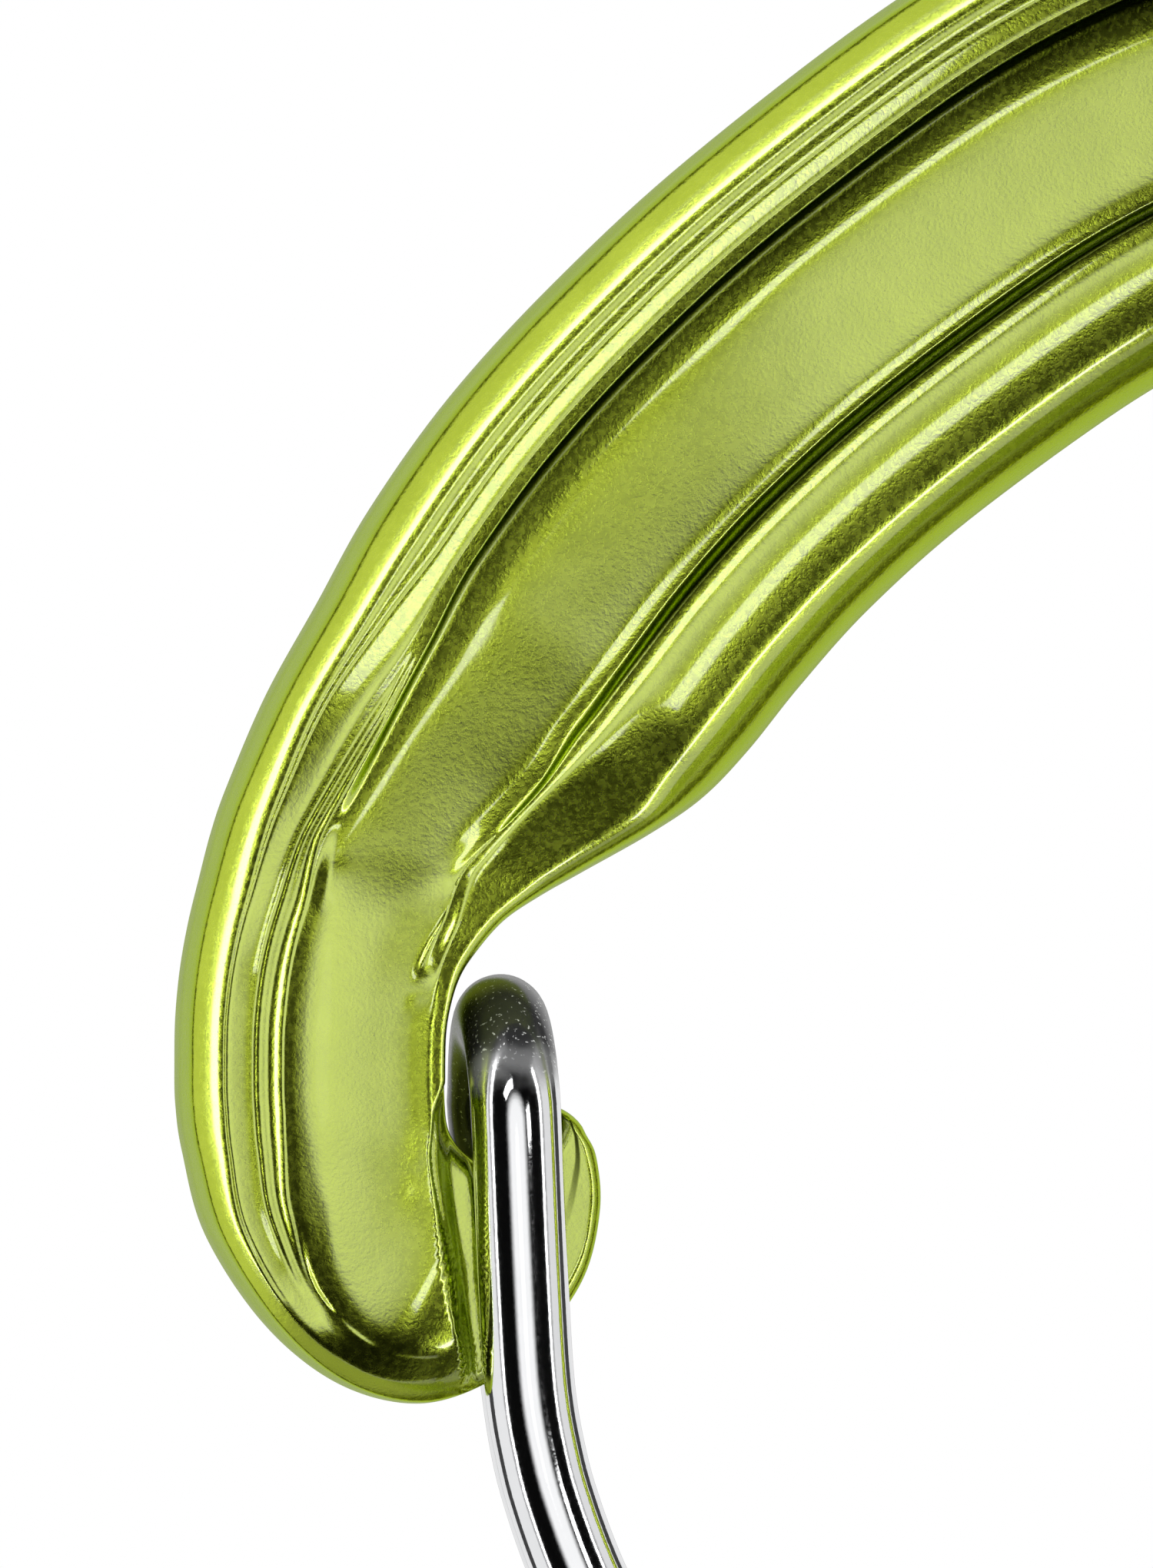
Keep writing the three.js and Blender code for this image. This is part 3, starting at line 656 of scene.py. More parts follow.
stations = np.concatenate([
    i + np.arange(count) / count for i, count in enumerate(rib_steps[:-1])
] + [[len(rib_rows) - 1.0]])
fine_ribs = spline(rib_rows, rib_steps[:-1])
rib_reach = fine_ribs[:, 2:4] - fine_ribs[:, 0:2]
rib_depth = np.linalg.norm(rib_reach, axis=1, keepdims=True)
in_picture = 1 - smooth_share(stations[:, None], *picture_end)
turn_across = -math.degrees(view_turn) * rib_reach[:, 0:1] / rib_depth * in_picture
rib_middle = (fine_ribs[:, 0:2] + fine_ribs[:, 2:4]) / 2
share_rows, height_rows = sections_along(stations, gone_along(rib_middle), rib_depth, turn_across)
print(len(stations), "stations along the body, up to", round(height_rows.max(), 2), "mm high")

# %% [markdown]
# The points of a section are joined by a curve whose corners are rounded by small parabolas, as a
# die's corners are. Where the wire gate lies against the hook, the die leaves only a thin tongue:
# there the height is held down softly to a floor, with a ledge and a small wall beside the wire.
# The other end is thinned to a lug for the wire in the same way.

# %% Rounded corners, tongue and lug
samples_per_feature = np.array([0, 0.25, 0.5, 0.75])
wire_edge_line = np.array([
    (10.2, 65.3), (8.8, 64.3), (8.25, 63.0), (8.16, 62.0), (8.56, 57.1), (8.71, 55.4), (9.09, 53.2),
])
ledge_width = np.array([(56.3, 0.78), (61.5, 1.27)])
ledge_shares = np.array([
    (0, 0.54), (0.45, 0.51), (0.76, 0.73), (0.92, 0.73), (1.02, 2.3), (1.3, 4.5), (3, 14.0),
])
ledge_under_wire = np.array([(-0.9, 0), (-0.4, 0.22)])
tongue_fillet, tongue_blend, tongue_end = 0.7, 0.22, 13
dimple_wall, dimple_depth = 0.55, 0.5
seat_slope, seat_fillet, seat_blend, seat_start = 2.5, 0.4, 0.25, 14


def rounded_ring(points, softness):
    """A closed curve near the corners of a polygon, each corner rounded by a parabola."""
    leg = np.roll(points, -1, axis=1) - points
    turn = leg - np.roll(leg, 1, axis=1)
    next_turn = np.roll(turn, -1, axis=1)
    soft = softness[None, :, None]
    next_soft = np.roll(softness, -1)[None, :, None]
    curve = []
    for t in samples_per_feature:
        near = np.clip(soft - t, 0, None) ** 2 / (4 * soft) * turn
        far = np.clip(next_soft - (1 - t), 0, None) ** 2 / (4 * next_soft) * next_turn
        curve.append(points + leg * t + near + far)
    stacked = np.stack(curve, axis=2)
    return stacked.reshape(len(points), -1, 2)


def soft_least(a, b, blend):
    """The smaller of a and b, with the corner between them rounded."""
    gap = np.clip(1 - np.abs(a - b) / blend, 0, 1)
    return np.minimum(a, b) - blend * gap ** 2 / 4


def side_of_line(points, line):
    """Distance to a line that runs downward: positive on its left."""
    best = np.full(points.shape[:-1], 1e9)
    signed = np.zeros(points.shape[:-1])
    for a, b in zip(line[:-1], line[1:]):
        run = b - a
        t = np.clip(((points - a) @ run) / (run @ run), 0, 1)
        away = points - (a + t[..., None] * run)
        distance = np.linalg.norm(away, axis=-1)
        side = -np.sign(run[0] * away[..., 1] - run[1] * away[..., 0])
        closer = distance < best
        best = np.where(closer, distance, best)
        signed = np.where(closer, side * distance, signed)
    return signed


def tongue_floor(plane, edge_distance):
    """The height that the tongue and its wall allow at points of the plane."""
    dip = np.clip(tongue_fillet - edge_distance, 0, tongue_fillet)
    tongue = tongue_half - tongue_fillet + np.sqrt(tongue_fillet ** 2 - dip ** 2)
    left = side_of_line(plane, wire_edge_line)
    share = left / np.interp(plane[..., 1], ledge_width[:, 0], ledge_width[:, 1])
    under = np.interp(left, [*ledge_under_wire[:, 0], 0], [*ledge_under_wire[:, 1], ledge_shares[0, 1]])
    ledge = np.where(left < 0, under, np.interp(share, ledge_shares[:, 0], ledge_shares[:, 1]))
    return tongue + ledge


def lug_floor(plane):
    """The height that the seat of the wire's ends allows: a flat cheek below a straight shoulder."""
    away = plane - pivot
    below = touch_gap - bar_depth / 2 - away[..., 1]
    wall = seat_slope * np.clip(below + seat_fillet, 0, None) ** 2 / (np.abs(below) + seat_fillet)
    from_pivot = np.linalg.norm(away, axis=-1)
    dimple = dimple_depth * smooth_share(-from_pivot, -wire_radius - dimple_wall, -wire_radius)
    return lug_half + wall - dimple


print("a ring has", 2 * len(feature_names) * len(samples_per_feature), "points")

# %% [markdown]
# The front half of a section and its mirror image make one closed ring. A few small rings close
# each end. Each point also keeps how deep it lies in one of the two creases beside the web, and the
# material paints those creases dark as painted shade.

# %% The two forged bodies
tip_reach, head_reach = 0.45, 0.3
crease_features = [(13, 12, 13.7), (19, 17.9, 19.8)]
crease_drops, crease_blend = (0.3, 1.2), 0.3


def forging():
    """Rings of the body, in the upper carabiner's place."""
    front = np.stack([share_rows * rib_depth, height_rows], axis=-1)
    back = front[:, ::-1] * np.array([1, -1])
    softness = np.array(roundness + roundness[::-1])
    ring = rounded_ring(np.concatenate([front, back], axis=1), softness)
    across, height = ring[..., 0], ring[..., 1]
    plane = fine_ribs[:, None, 0:2] + rib_reach[:, None] * (across / rib_depth)[..., None]
    edge_distance = np.clip(np.minimum(across, rib_depth - across), 0, None)
    station = stations[:, None]
    tall = np.abs(height)
    held = soft_least(tall, tongue_floor(plane, edge_distance), tongue_blend)
    tall = np.where(station < tongue_end, held, tall)
    seated = soft_least(tall, lug_floor(plane), seat_blend)
    tall = np.where(station > len(rib_rows) - seat_start, seated, tall)
    points = np.stack([plane[..., 0], -np.sign(height) * tall, plane[..., 1]], axis=-1)
    return round_off_ends(points - np.array([bearing[0], 0, bearing[1]]))


def round_off_ends(rings):
    """Adds small closing rings, so that the hook's tip and the head end in a round."""
    def closing(end, neighbour, reach):
        middle = end.mean(axis=0)
        ahead = middle - neighbour.mean(axis=0)
        ahead /= np.linalg.norm(ahead)
        turns = np.radians([18, 36, 54, 70, 82])
        return [middle + (end - middle) * math.cos(turn) + ahead * reach * math.sin(turn) for turn in turns]

    start = closing(rings[0], rings[1], tip_reach)[::-1]
    stop = closing(rings[-1], rings[-2], head_reach)
    return np.concatenate([start, rings, stop])


def crease_shade_amount():
    """How deep in a crease each point of each ring is, from 0 to 1, which is how much painted shade it
    gets.
    """
    samples = len(samples_per_feature)
    feature = np.arange(2 * len(feature_names) * samples) / samples
    from_edge = np.minimum(feature, 2 * len(feature_names) - 1 - feature)
    depth = np.zeros((len(stations), len(feature)))
    for wall, first, last in crease_features:
        drop = np.abs(height_rows[:, wall] - height_rows[:, wall - 1])
        starts = smooth_share(from_edge, first - crease_blend, first + crease_blend)
        ends = smooth_share(from_edge, last - 0.4, last + 0.1)
        depth = np.maximum(depth, smooth_share(drop, *crease_drops)[:, None] * starts * (1 - ends))
    return depth


body_rings = forging()
crease_shade = crease_shade_amount()
end_rings = (len(body_rings) - len(crease_shade)) // 2
crease_shade = np.pad(crease_shade, ((end_rings, end_rings), (0, 0)))
body_shape = ring_mesh(body_rings, np.column_stack([crease_shade.ravel(), np.zeros(crease_shade.size)]))
for place, body in both_ends("forged_body", body_shape, anodised):
    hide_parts(f"{place}_body")
    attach(body, f"{place}_carabiner")
print("body", body_rings.shape[:2], "points,", len(body_shape[1]), "faces")

# %% [markdown]
# ## Wire gate
# One length of round wire makes the whole gate: both ends hook into the lug, the legs bow out, and
# a U-bend at the tip spans the tongue. A smooth curve runs through the bends, and the wire's
# round section is carried along it without twisting.

# %% The gate's route and its round wire
gate_spread_top = tongue_half + touch_gap + wire_radius
gate_splay, gate_tip_gap, gate_tip_rise = 0.65, 0.4, 2.6
gate_spread_pivot = gate_spread_top + gate_splay
gate_top = np.array([neck_depth + gate_tip_gap + wire_radius, notch_centre[1] + gate_tip_rise])
gate_bow, gate_elbow, wire_end_offset = 1.8, 1.6, 0.5
gate_step, gate_sides = 0.35, 56
gate_bow_shares = [
    (0.09, 0.45), (0.167, 0.78), (0.303, 1), (0.424, 0.74), (0.538, 0.145), (0.6, -0.19),
    (0.643, -0.46), (0.68, -0.63), (0.714, -0.72), (0.762, -0.72), (0.84, -0.51),
]
back_leg_offset = [(0, 0), (0.35, 0.3), (0.64, 0.5), (0.76, 0.58), (0.915, 0.25), (1, 0)]


def in_frame(plane_point, y):
    return np.array([plane_point[0] - bearing[0], y, plane_point[1] - bearing[1]])


def gate_leg(side):
    """From the end in the lug to just below the bend at the tip."""
    end = pivot - np.array([0, side * wire_end_offset])
    along = gate_top - pivot
    across = np.array([along[1], -along[0]]) / np.linalg.norm(along)
    route = []
    for way, bow in gate_bow_shares:
        aside = np.interp(way, *zip(*back_leg_offset)) if side > 0 else 0
        route.append(pivot + along * way + across * (bow * gate_bow + aside))
    up = (route[0] - end) / np.linalg.norm(route[0] - end)
    points = [in_frame(end, side * wire_end_offset), in_frame(end, side * (gate_spread_pivot - gate_elbow))]
    for turn in np.radians([22, 45, 68, 90]):
        out = gate_spread_pivot - gate_elbow * (1 - math.sin(turn))
        points.append(in_frame(end + up * gate_elbow * (1 - math.cos(turn)), side * out))
    for (way, _), point in zip(gate_bow_shares, route):
        spread = gate_spread_pivot + (gate_spread_top - gate_spread_pivot) * way
        points.append(in_frame(point, side * spread))
    return points, route[-1]


def gate_centre_line():
    leg, below = gate_leg(-1)
    up = (gate_top - below) / np.linalg.norm(gate_top - below)
    bend = []
    for turn in np.radians([0, 22, 45, 68, 90, 112, 135, 158, 180]):
        drop = gate_spread_top * (1 - math.sin(turn))
        bend.append(in_frame(gate_top - up * drop, -gate_spread_top * math.cos(turn)))
    return np.array(leg + bend + gate_leg(1)[0][::-1])


def even_steps(points, step):
    """The points of a curve again, at even distances."""
    reached = gone_along(points)
    wanted = np.linspace(0, reached[-1], max(int(reached[-1] / step), 2))
    return np.stack([np.interp(wanted, reached, points[:, i]) for i in range(3)], axis=1)


def round_wire(line, radius, sides):
    """Round wire along a line. It keeps how far along and around it each point is."""
    ahead = headings(line)
    normal = np.cross(ahead[0], [0.3, 0.2, 0.93])
    turns = 2 * math.pi * np.arange(sides) / sides
    rings = []
    for point, direction in zip(line, ahead):
        normal = normal - direction * (normal @ direction)
        normal /= np.linalg.norm(normal)
        other = np.cross(direction, normal)
        rings.append(point + radius * (np.outer(np.cos(turns), normal) + np.outer(np.sin(turns), other)))
    flat = np.column_stack([np.repeat(gone_along(line), sides), np.tile(radius * turns, len(line))])
    return ring_mesh(np.array(rings), flat)


gate_points = gate_centre_line()
gate_curve = even_steps(spline(gate_points, [12] * (len(gate_points) - 1)), gate_step)
gate_shape = round_wire(gate_curve, wire_radius, gate_sides)
bend_middle = np.argmin(np.abs(gate_curve[:, 1]) - gate_curve[:, 2])
gate_shape[2][:, 0] -= gone_along(gate_curve)[bend_middle]
for place, gate in both_ends("wire_gate", gate_shape, steel):
    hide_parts(f"{place}_gate")
    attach(gate, f"{place}_gate")
print("gate", len(gate_curve), "rings,", len(gate_shape[1]), "faces")

# %% [markdown]
# ## Webbing, rubber and thread
# The sling is flat woven tape. Its weave is drawn in the tape's own coordinates, millimetres along
# and across, so that it follows every bend: round warp yarns side by side, each dipping under the
# weft at every other pick, with two lime tracer yarns near the edges. The label, the keeper and
# the thread get their own fine relief in the same way.

# %% Materials of the sling
def woven_tape(name, yarn, pick, ground, ground_light, tracer, tracer_from, tracer_to):
    """Plain weave: yarn and pick are the distances between warp yarns and between weft picks."""
    tracer_shade = 0.35
    finish = Finish(name)
    along, across, _ = finish.axes(finish.flat())
    column = across / yarn
    odd = (column.whole() * 0.5).part() * 2
    rib = (column.part() - 0.5).size() * 2
    dip = ((along / pick + odd * 0.5) * math.pi).wave().size()
    relief = (1 - rib * rib) * 0.6 + dip * 0.4
    at = finish.place()
    fuzz = finish.grain(at, size=0.09, detail=3.0, roughness=0.7)
    wear = finish.grain(at, size=5.0)
    height = relief + fuzz * 0.18
    # Partly painted shade: the yarns are coloured darker in the dips of the weave; fuzz and wear add real
    # tone.
    weave_shade_and_wear = relief.between(0.25, 0.95) * 0.75 + fuzz.between(0.4, 0.6) * 0.15 + wear * 0.1
    distance = across.size()
    in_tracer = (distance > tracer_from) * (distance < tracer_to)
    deep = tuple(channel * tracer_shade for channel in tracer)
    plain = finish.tint(weave_shade_and_wear, ground, ground_light)
    marked = finish.tint(weave_shade_and_wear, deep, tracer)
    return finish.surface(
        Base_Color=finish.tint(in_tracer, plain, marked),
        Roughness=fuzz.between(0.3, 0.7, 0.62, 0.85),
        Specular_IOR_Level=0.35,
        Sheen_Weight=0.25,
        Sheen_Roughness=0.45,
        Normal=finish.bump(height, depth=0.22, strength=0.8),
    )


def moulded_rubber():
    finish = Finish("moulded_rubber")
    at = finish.place()
    dust = finish.grain(at, size=2.5, detail=3.0)
    skin = finish.grain(at, size=0.11)
    return finish.surface(
        Base_Color=finish.tint(dust, (0.012, 0.012, 0.013), (0.03, 0.03, 0.032)),
        Roughness=skin.between(0.3, 0.7, 0.5, 0.68),
        Normal=finish.bump(skin, depth=0.02, strength=0.6),
    )


def sewing_thread():
    finish = Finish("sewing_thread")
    along, around, _ = finish.axes(finish.flat())
    lay_along, lay_around = 0.22, 0.5
    twist = ((along / lay_along + around / lay_around) * math.pi).wave().size()
    at = finish.place()
    fuzz = finish.grain(at, size=0.05)
    return finish.surface(
        # Painted shade: the thread's colour is darker in the grooves of its twist; fuzz adds real tone.
        Base_Color=finish.tint(twist * 0.7 + fuzz * 0.3, (0.16, 0.2, 0.02), (0.46, 0.56, 0.08)),
        Roughness=fuzz.between(0.3, 0.7, 0.45, 0.65),
        Sheen_Weight=0.2,
        Normal=finish.bump(twist, depth=0.03, strength=0.6),
    )


webbing = woven_tape(
    "sling_webbing", yarn=0.62, pick=0.8, ground=(0.012, 0.013, 0.014), ground_light=(0.075, 0.078, 0.082),
    tracer=(0.42, 0.54, 0.06), tracer_from=3.72, tracer_to=4.96)
label_cloth = woven_tape(
    "label_cloth", yarn=0.24, pick=0.3, ground=(0.42, 0.43, 0.42), ground_light=(0.8, 0.81, 0.79),
    tracer=(0.3, 0.39, 0.05), tracer_from=5.0, tracer_to=5.6)
rubber = moulded_rubber()
thread = sewing_thread()
print("materials", webbing.name, label_cloth.name, rubber.name, thread.name)

# %% [markdown]
# ## The sewn sling
# The sling is one strip of tape, doubled, with an eye round the bar at each end. I make it in three
# stretches that meet under the first bar tacks: two eyes and the strap between. A stretch is a
# flat, round-edged section, carried along a path in the plane across the bar.

# %% Tape along a path
tape_width, tape_thickness = 12, 2.2
tape_half = tape_thickness / 2
sling_half = 2.35
eye_length, crown_fullness = 17, 0.82
seam_side = sling_half - tape_half
eye_side = bar_half + touch_gap + tape_half
eye_top = bar_depth / 2 + touch_gap + tape_half
sling_x = bar_centre[0] - bearing[0]
strap_top = -bar_drop - eye_length - touch_gap - sling_half
tack_length, tack_height, tack_pitch, tack_end_margin = 8.4, 2, 6, 5.5
tack_dent, tack_dent_reach = 0.16, 1.3
tape_step, selvedge, ripple_pitch, ripple_depth = 0.3, 1.2, 0.8, 0.01
fold_margins, twist_margin = (4.5, 4), 1.5
tack_levels = [strap_top - tack_end_margin - tack_pitch * k for k in range(4)]


def tape_section():
    """Points round a flat tape with soft selvedges, across and through it."""
    points = []
    reach = tape_width / 2 - tape_half
    for side in (1, -1):
        for turn in np.radians(np.linspace(-90, 90, 13)):
            across = reach + math.cos(turn) * tape_half * 0.96
            points.append((side * across, side * math.sin(turn) * tape_half))
        for share in np.arange(1, 16) / 16:
            points.append((side * reach * (1 - 2 * share), side * tape_half))
    return np.array(points)


def mirror_level(z):
    """The same height on the other half of the draw."""
    return 2 * draw_middle - z


def eye_half_width(drop):
    return seam_side + (eye_side - seam_side) * (1 - smooth_share(drop, 0, eye_length - eye_top / 2))


def crown_lift(x, z):
    """How far the tape rides up beside its middle, because the bar is curved."""
    sag = bar_inner_radius - np.sqrt(bar_inner_radius ** 2 - x ** 2)
    reach = smooth_share(z, -eye_length, 0) * (0.6 + 0.4 * smooth_share(z, 0, eye_top))
    return sag * reach


def tack_squeeze(z):
    """How much the bar tacks press the plies together at a height."""
    levels = tack_levels + [mirror_level(level) for level in tack_levels]
    return sum(tack_dent * np.exp(-((z - level) / tack_dent_reach) ** 2) for level in levels)


def tape(path):
    """A closed band along rows of y and z. It keeps how far along and across it each point is."""
    line = even_steps(np.column_stack([np.zeros(len(path)), path]), tape_step)
    across, through = section.T
    edge = np.clip(np.abs(across) - tape_width / 2 + selvedge, 0, None)
    rings, flat = [], []
    for point, run, length in zip(line, headings(line), gone_along(line)):
        squeeze = tack_squeeze(point[2])
        ripple = 1 + ripple_depth * edge * math.sin(length * math.pi / ripple_pitch)
        thin = through * (1 - squeeze / tape_thickness)
        rings.append(np.column_stack([
            sling_x + across * ripple,
            point[1] + thin * run[2] - np.sign(point[1]) * squeeze * 0.5,
            point[2] - thin * run[1] + crown_lift(across, point[2] + bar_drop),
        ]))
        flat.append(np.column_stack([np.full(len(section), length), across]))
    return ring_mesh(np.array(rings), np.concatenate(flat))


def eye_path():
    """Up the front ply, over the bar and down the back ply."""
    front = [(-seam_side, tack_levels[0]), (-seam_side, -bar_drop - eye_length)]
    for share in np.linspace(0.97, 0.02, 30):
        front.append((-eye_half_width(share * eye_length), -bar_drop - share * eye_length))
    over = []
    for turn in np.linspace(0, math.pi, 41):
        aside = math.copysign(abs(math.cos(turn)) ** crown_fullness, math.cos(turn))
        over.append((-eye_side * aside, -bar_drop + eye_top * math.sin(turn) ** crown_fullness))
    back = [(-y, z) for y, z in front]
    return front + over + back[::-1]


section = tape_section()
eye_shape = tape(eye_path())
print("eye", len(eye_shape[0]), "points,", len(eye_shape[1]), "faces")

# %% [markdown]
# Real webbing bends and twists over a length. Here each stretch keeps the shape that it is made
# with, and is baked in place without any blend between the bodies.

# %% Two eyes and the strap between them
def on_sling(z):
    """A point of the sling's middle, in metres."""
    return (sling_x * MM, 0, z * MM)


toward_eye, toward_strap = fold_margins
for place, eye in both_ends("eye_tape", eye_shape, webbing):
    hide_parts(f"{place}_loop")
    if place == "upper":
        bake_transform(eye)
    else:
        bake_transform(eye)

plies = []
for y in (-seam_side, seam_side):
    plies.append(tape([(y, tack_levels[0]), (y, mirror_level(tack_levels[0]))]))
strap_shape = joined(plies)
strap = new_piece("strap_tape", strap_shape, webbing)
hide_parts("upper_strap", "lower_strap")
twist_end = on_sling(mirror_level(tack_levels[-1]) + twist_margin)
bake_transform(strap)
print("strap", len(strap_shape[0]), "points,", len(strap_shape[1]), "faces")

# %% [markdown]
# ## Bar tacks
# A bar tack is a dense zigzag of thread, sewn over a few long stitches. Each tack shows on both
# faces of the sling, as a raised, ridged bar that presses the plies together.

# %% Zigzag stitches of thread
thread_radius, thread_sides = 0.2, 7
zigzag_pitch, zigzag_slant = 0.46, 0.4
stitch_profile = [(0.99, -0.12), (0.8, 0.16), (0, 0.24), (-0.8, 0.16), (-0.99, -0.12)]
under_profile = [(-1, -0.1), (-0.94, 0.05), (0.94, 0.05), (1, -0.1)]


def tack_stitches(level, side):
    """The zigzag and its two underlying stitches on one face, as routes of points."""
    surface = sling_half - tack_dent
    reach = tack_length / 2 - thread_radius
    rise = tack_height / 2 - thread_radius
    count = int(2 * reach / zigzag_pitch)
    zigzag = []
    for k in range(count + 1):
        x = -reach + 2 * reach * k / count
        up = -1 if k % 2 else 1
        for share, proud in stitch_profile:
            step = zigzag_slant * (1 - share) * reach / count
            zigzag.append((sling_x + x + step, side * (surface + proud), level + up * rise * share))
    routes = [zigzag]
    for height in (-0.225 * tack_height, 0.225 * tack_height):
        routes.append([(sling_x + share * reach, side * (surface + proud), level + height)
                       for share, proud in under_profile])
    return routes


for k, level in enumerate(tack_levels):
    routes = tack_stitches(level, -1) + tack_stitches(level, 1)
    tack_shape = joined([round_wire(np.array(route), thread_radius, thread_sides) for route in routes])
    for place, tack in both_ends(f"bar_tack_{k + 1}_thread", tack_shape, thread):
        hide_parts(f"{place}_bar_tack_{k + 1}")
        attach(tack, f"{place}_sling")
print("tacks at", np.round(tack_levels, 2))

# %% [markdown]
# ## Keeper and label
# Both are sleeves: a rounded-rectangle ring drawn at several heights, outside and inside, joined by
# round lips. The keeper is moulded rubber with three grip grooves. The label is a thin woven band.

# %% Sleeves round the sling
keeper_height, keeper_wall, keeper_lip, keeper_drop = 8, 1.6, 0.8, 1
label_height, label_wall, label_lip = 13, 0.6, 0.3
groove_depth, groove_width, groove_shares = 0.3, 0.05, (0.32, 0.5, 0.68)


def sleeve_ring(half_width, half_depth, corner, z):
    points = []
    for quarter, (right, front) in enumerate([(1, 1), (-1, 1), (-1, -1), (1, -1)]):
        for turn in np.radians(90 * quarter + np.linspace(0, 90, 12)):
            points.append((
                sling_x + right * (half_width - corner) + corner * math.cos(turn),
                front * (half_depth - corner) + corner * math.sin(turn),
                z,
            ))
    return np.array(points)


def sleeve(top, bottom, depth_at, wall, lip, groove):
    """A closed sleeve: depth_at gives the bore's half depth at a height."""
    def round_lip(level, start, stop):
        return [(wall / 2 * (1 + math.cos(turn)), level + lip * math.sin(turn))
                for turn in np.linspace(start, stop, 9)]

    shares = np.linspace(0, 1, 61)[1:-1]
    straight = bottom - top + 2 * lip
    outside = [(wall - groove(share), top - lip + straight * share) for share in shares]
    inside = [(0, top - lip + straight * share) for share in np.linspace(1, 0, 12)[1:-1]]
    profile = round_lip(top - lip, math.pi, 0) + outside + round_lip(bottom + lip, 0, -math.pi) + inside
    rings, flat = [], []
    for out, z in profile:
        half_width = tape_width / 2 + touch_gap + out
        rings.append(sleeve_ring(half_width, depth_at(z) + out, touch_gap + out, z))
        from_middle = np.full(len(rings[-1]), z - (top + bottom) / 2)
        flat.append(np.column_stack([gone_along(rings[-1]), from_middle]))
    return ring_mesh(np.array(rings), np.concatenate(flat), closed=True)


def grip_groove(share):
    return sum(groove_depth * math.exp(-((share - at) / groove_width) ** 2) for at in groove_shares)


def keeper_bore(z):
    return eye_half_width(-z - bar_drop) + tape_half + 2 * touch_gap


keeper_top = -bar_drop - bar_depth / 2 - keeper_drop
keeper_points, keeper_faces, _ = sleeve(
    keeper_top, keeper_top - keeper_height, keeper_bore, keeper_wall, keeper_lip, grip_groove)
keeper_shape = (lower_copy(keeper_points), keeper_faces, None)
keeper = new_piece("rubber_keeper", keeper_shape, rubber)
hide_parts("keeper")
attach(keeper, "lower_carabiner")

label_bottom = draw_middle + touch_gap
label_shape = sleeve(label_bottom + label_height, label_bottom,
                     lambda z: sling_half + touch_gap, label_wall, label_lip, lambda share: 0)
label = new_piece("woven_label", label_shape, label_cloth)
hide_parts("label_band")
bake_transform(label)
print("keeper and label on the sling")

# %% [markdown]
# ## Studio
# Polished metal shows its surroundings, so the studio is most of the look. The surroundings are
# white, with dark flags round the lens: each face that tips a little away from the lens shows a
# flag and turns dark, and each face that tips further shows white again. All of them are parts of
# a big dome round the draw, which the camera doesn't see.

# %% A dome of cards and flags round the draw
def matt(name, level):
    """A plain grey without any shine."""
    return Finish(name).surface(Base_Color=(level, level, level, 1), Roughness=1.0, Specular_IOR_Level=0.0)


dome_radius = 1.4
dome_columns, dome_rows = 48, 10
flag_black = matt("flag_black", 0.004)


def toward(tilt, turn):
    """A direction: tilt from the axis toward the lens, turned anticlockwise from the right."""
    right, ahead, up = math.sin(tilt) * math.cos(turn), math.cos(tilt), math.sin(tilt) * math.sin(turn)
    return np.array([
        right * math.cos(view_turn) + ahead * math.sin(view_turn),
        right * math.sin(view_turn) - ahead * math.cos(view_turn),
        up,
    ])


def dome_part(name, strength, tilts, turns):
    """Part of the dome between two tilts and two turns: a card that glows, or at 0 a black flag."""
    points = []
    for tilt in np.radians(np.linspace(*tilts, dome_rows + 1)):
        for turn in np.radians(np.linspace(*turns, dome_columns + 1)):
            points.append(tuple(view_target + dome_radius * toward(tilt, turn)))
    faces = []
    for r in range(dome_rows):
        for a in range(r * (dome_columns + 1), (r + 1) * (dome_columns + 1) - 1):
            faces.append((a, a + 1, a + dome_columns + 2, a + dome_columns + 1))
    mesh = bpy.data.meshes.new(name)
    mesh.from_pydata(points, [], faces)
    mesh.shade_smooth()
    mesh.materials.append(Finish(name).glow(strength) if strength else flag_black)
    part = add_object(name, mesh)
    part.visible_camera = False
    part.visible_shadow = False
    part.visible_diffuse = False


print("dome of", dome_radius, "m")

# %% [markdown]
# A bright card fills the middle, where the flat web looks, and fades toward the dark flags. Small
# bright cards between the flags draw the white streaks of the shoulder. Narrow strips at the sides
# draw the white line along the rim, and what lies behind the draw is for the steepest flanks.

# %% Cards and flags, by how far they tilt from the lens and where they turn
all_round = (0, 360)
front_level, front_rings = 1.12, np.linspace(14, 28, 9)
dome_part("front_middle", 1.3, (0, 5), all_round)
dome_part("front_card", front_level, (5, 14), all_round)
for k, (inside, outside) in enumerate(zip(front_rings[:-1], front_rings[1:])):
    dimmed = front_level * (1 - smooth_share((inside + outside) / 2, 14, 28))
    dome_part(f"front_ring_{k}", dimmed, (inside, outside), all_round)
for name, turns in (("left", (100, 146)), ("right_low", (-35, -10)), ("right_high", (7, 24))):
    dome_part(f"corner_card_{name}", 3.2, (28, 37), turns)
    dome_part(f"flag_corner_{name}", 0, (37, 62), turns)
for name, turns in (("left", (146, 325)), ("right", (24, 100)), ("between", (-10, 7))):
    dome_part(f"flag_{name}", 0, (28, 62), turns)
for name, turns, side_level in (("left", (104, 226), 0.95), ("right", (-46, 45), 0.85)):
    dome_part(f"side_inside_{name}", 0.5, (62, 64.4), turns)
    dome_part(f"strip_{name}", 7.0, (64.4, 68.4), turns)
    dome_part(f"side_middle_{name}", 0.5, (68.4, 75), turns)
    dome_part(f"side_outside_{name}", side_level, (75, 112), turns)
dome_part("flag_above", 0, (62, 112), (45, 104))
dome_part("flag_below", 0, (62, 78), (226, 314))
dome_part("dim_below", 0.5, (78, 112), (226, 314))
dome_part("dim_wall", 0.06, (112, 131), all_round)
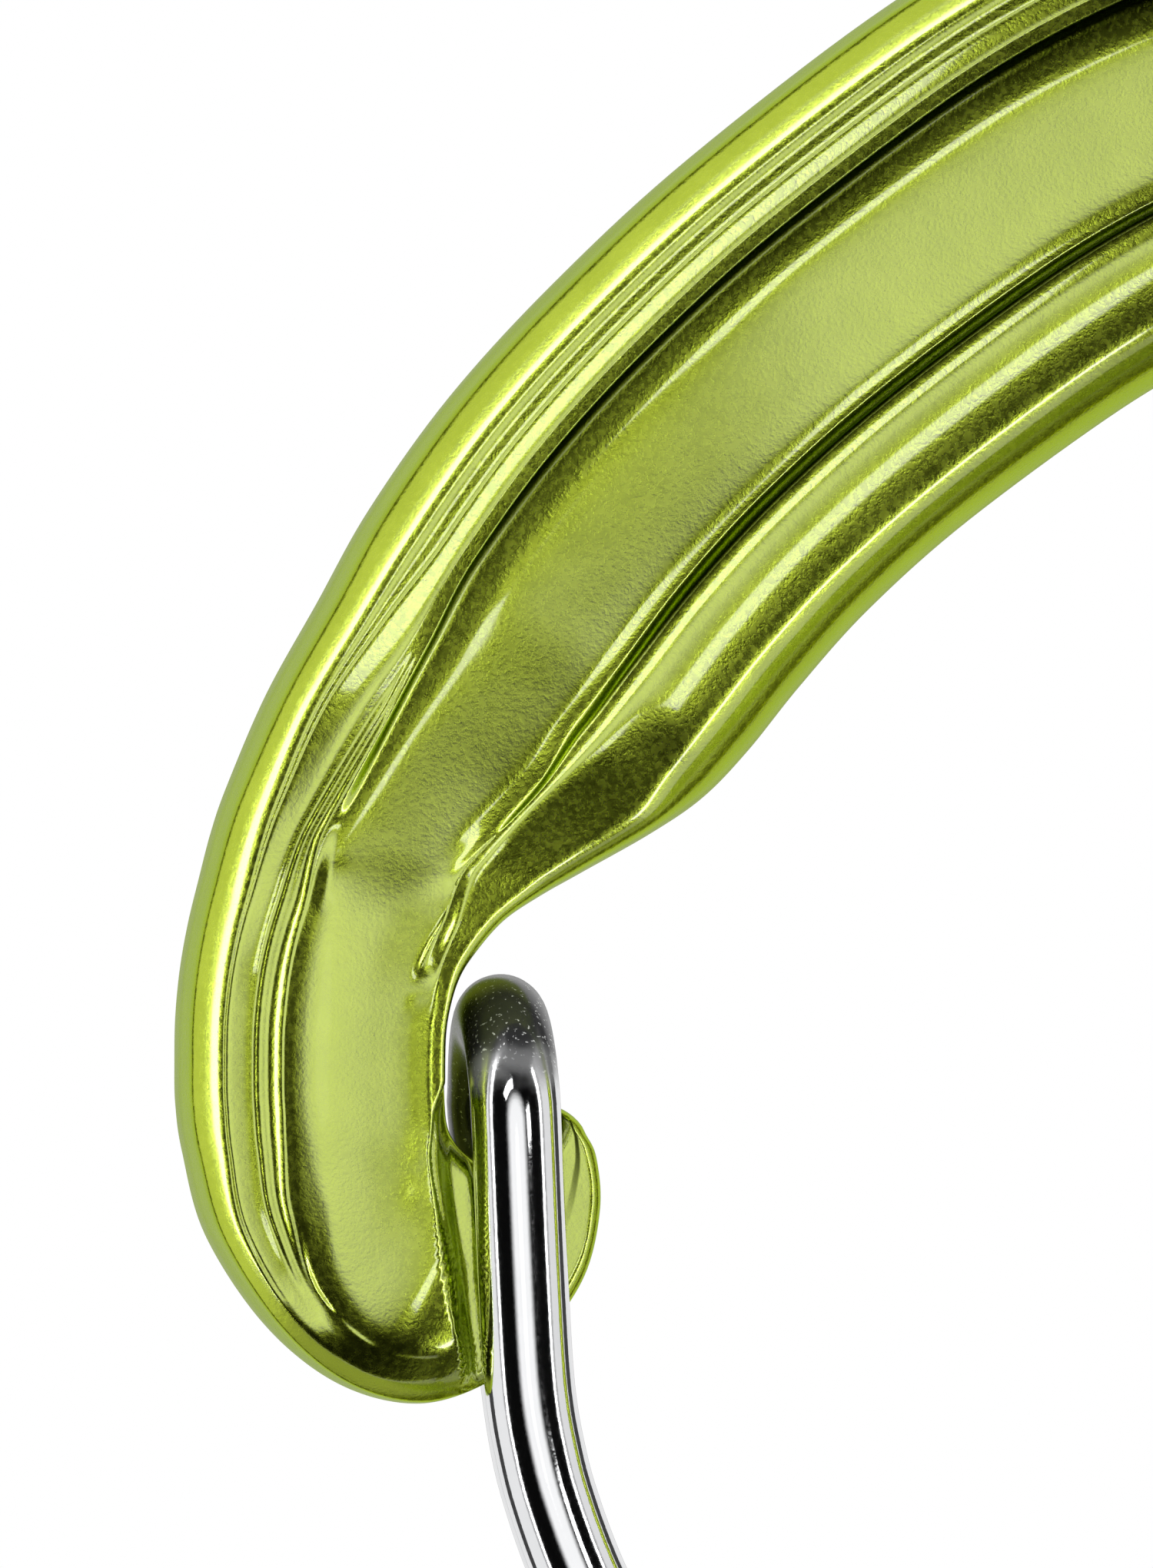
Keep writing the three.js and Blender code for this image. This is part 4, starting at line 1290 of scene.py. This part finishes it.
dome_part("pale_wall", 0.9, (131, 165), all_round)
print("cards and flags up")

# %% [markdown]
# The draw hangs just over a round pale floor, which keeps its soft shadow. The metal doesn't see
# the floor, because the dome is all that it mirrors.

# %% A plain pale floor
floor_level, floor_radius, floor_sides = -0.2976, 0.62, 72
floor_rim = []
for turn in np.linspace(0, 2 * math.pi, floor_sides, endpoint=False):
    floor_rim.append((floor_radius * math.cos(turn), floor_radius * math.sin(turn), floor_level))
floor_mesh = bpy.data.meshes.new("floor")
floor_mesh.from_pydata(floor_rim, [], [tuple(range(floor_sides))])
floor_mesh.materials.append(matt("pale_floor", 0.95))
floor = add_object("floor", floor_mesh)
floor.visible_glossy = False
print("floor at", floor_level)

# %% [markdown]
# Two large lamps and an even pale world light the draw at a plain level: a white card beside it
# would render about white. The camera sees the world as white. The lamps don't show in the metal,
# because the cards on the dome already give it its shine.

# %% Lamps and surroundings
lamp_width, lamp_height, lamp_energy, lamp_reach = 0.5, 0.9, 6, 0.93
world_level, white_level = 0.6, 1.0


def softbox(name, tilt, turn):
    """An area lamp just inside the dome that faces the draw."""
    away = toward(math.radians(tilt), math.radians(turn))
    lamp = bpy.data.lights.new(name, "AREA")
    lamp.shape = "RECTANGLE"
    lamp.size, lamp.size_y = lamp_width, lamp_height
    lamp.energy = lamp_energy
    holder = add_object(name, lamp)
    holder.location = view_target + away * (dome_radius * lamp_reach)
    holder.rotation_euler = Vector(-away).to_track_quat("-Z", "Y").to_euler()
    holder.visible_camera = False
    holder.visible_glossy = False


softbox("lamp_left", 60, 150)
softbox("lamp_right", 60, 40)

sky = Finish("white_studio", bpy.data.worlds)
camera_ray = sky.node("LightPath", output="Is Camera Ray")
transmission_ray = sky.node("LightPath", output="Is Transmission Ray")
strength = world_level + (white_level - world_level) * camera_ray.larger(transmission_ray)
background = sky.node("Background", None, {"Color": (1, 1, 1, 1), "Strength": strength})
sky.node("OutputWorld", None, {"Surface": background})
bpy.context.scene.world = sky.made
print("studio lit")
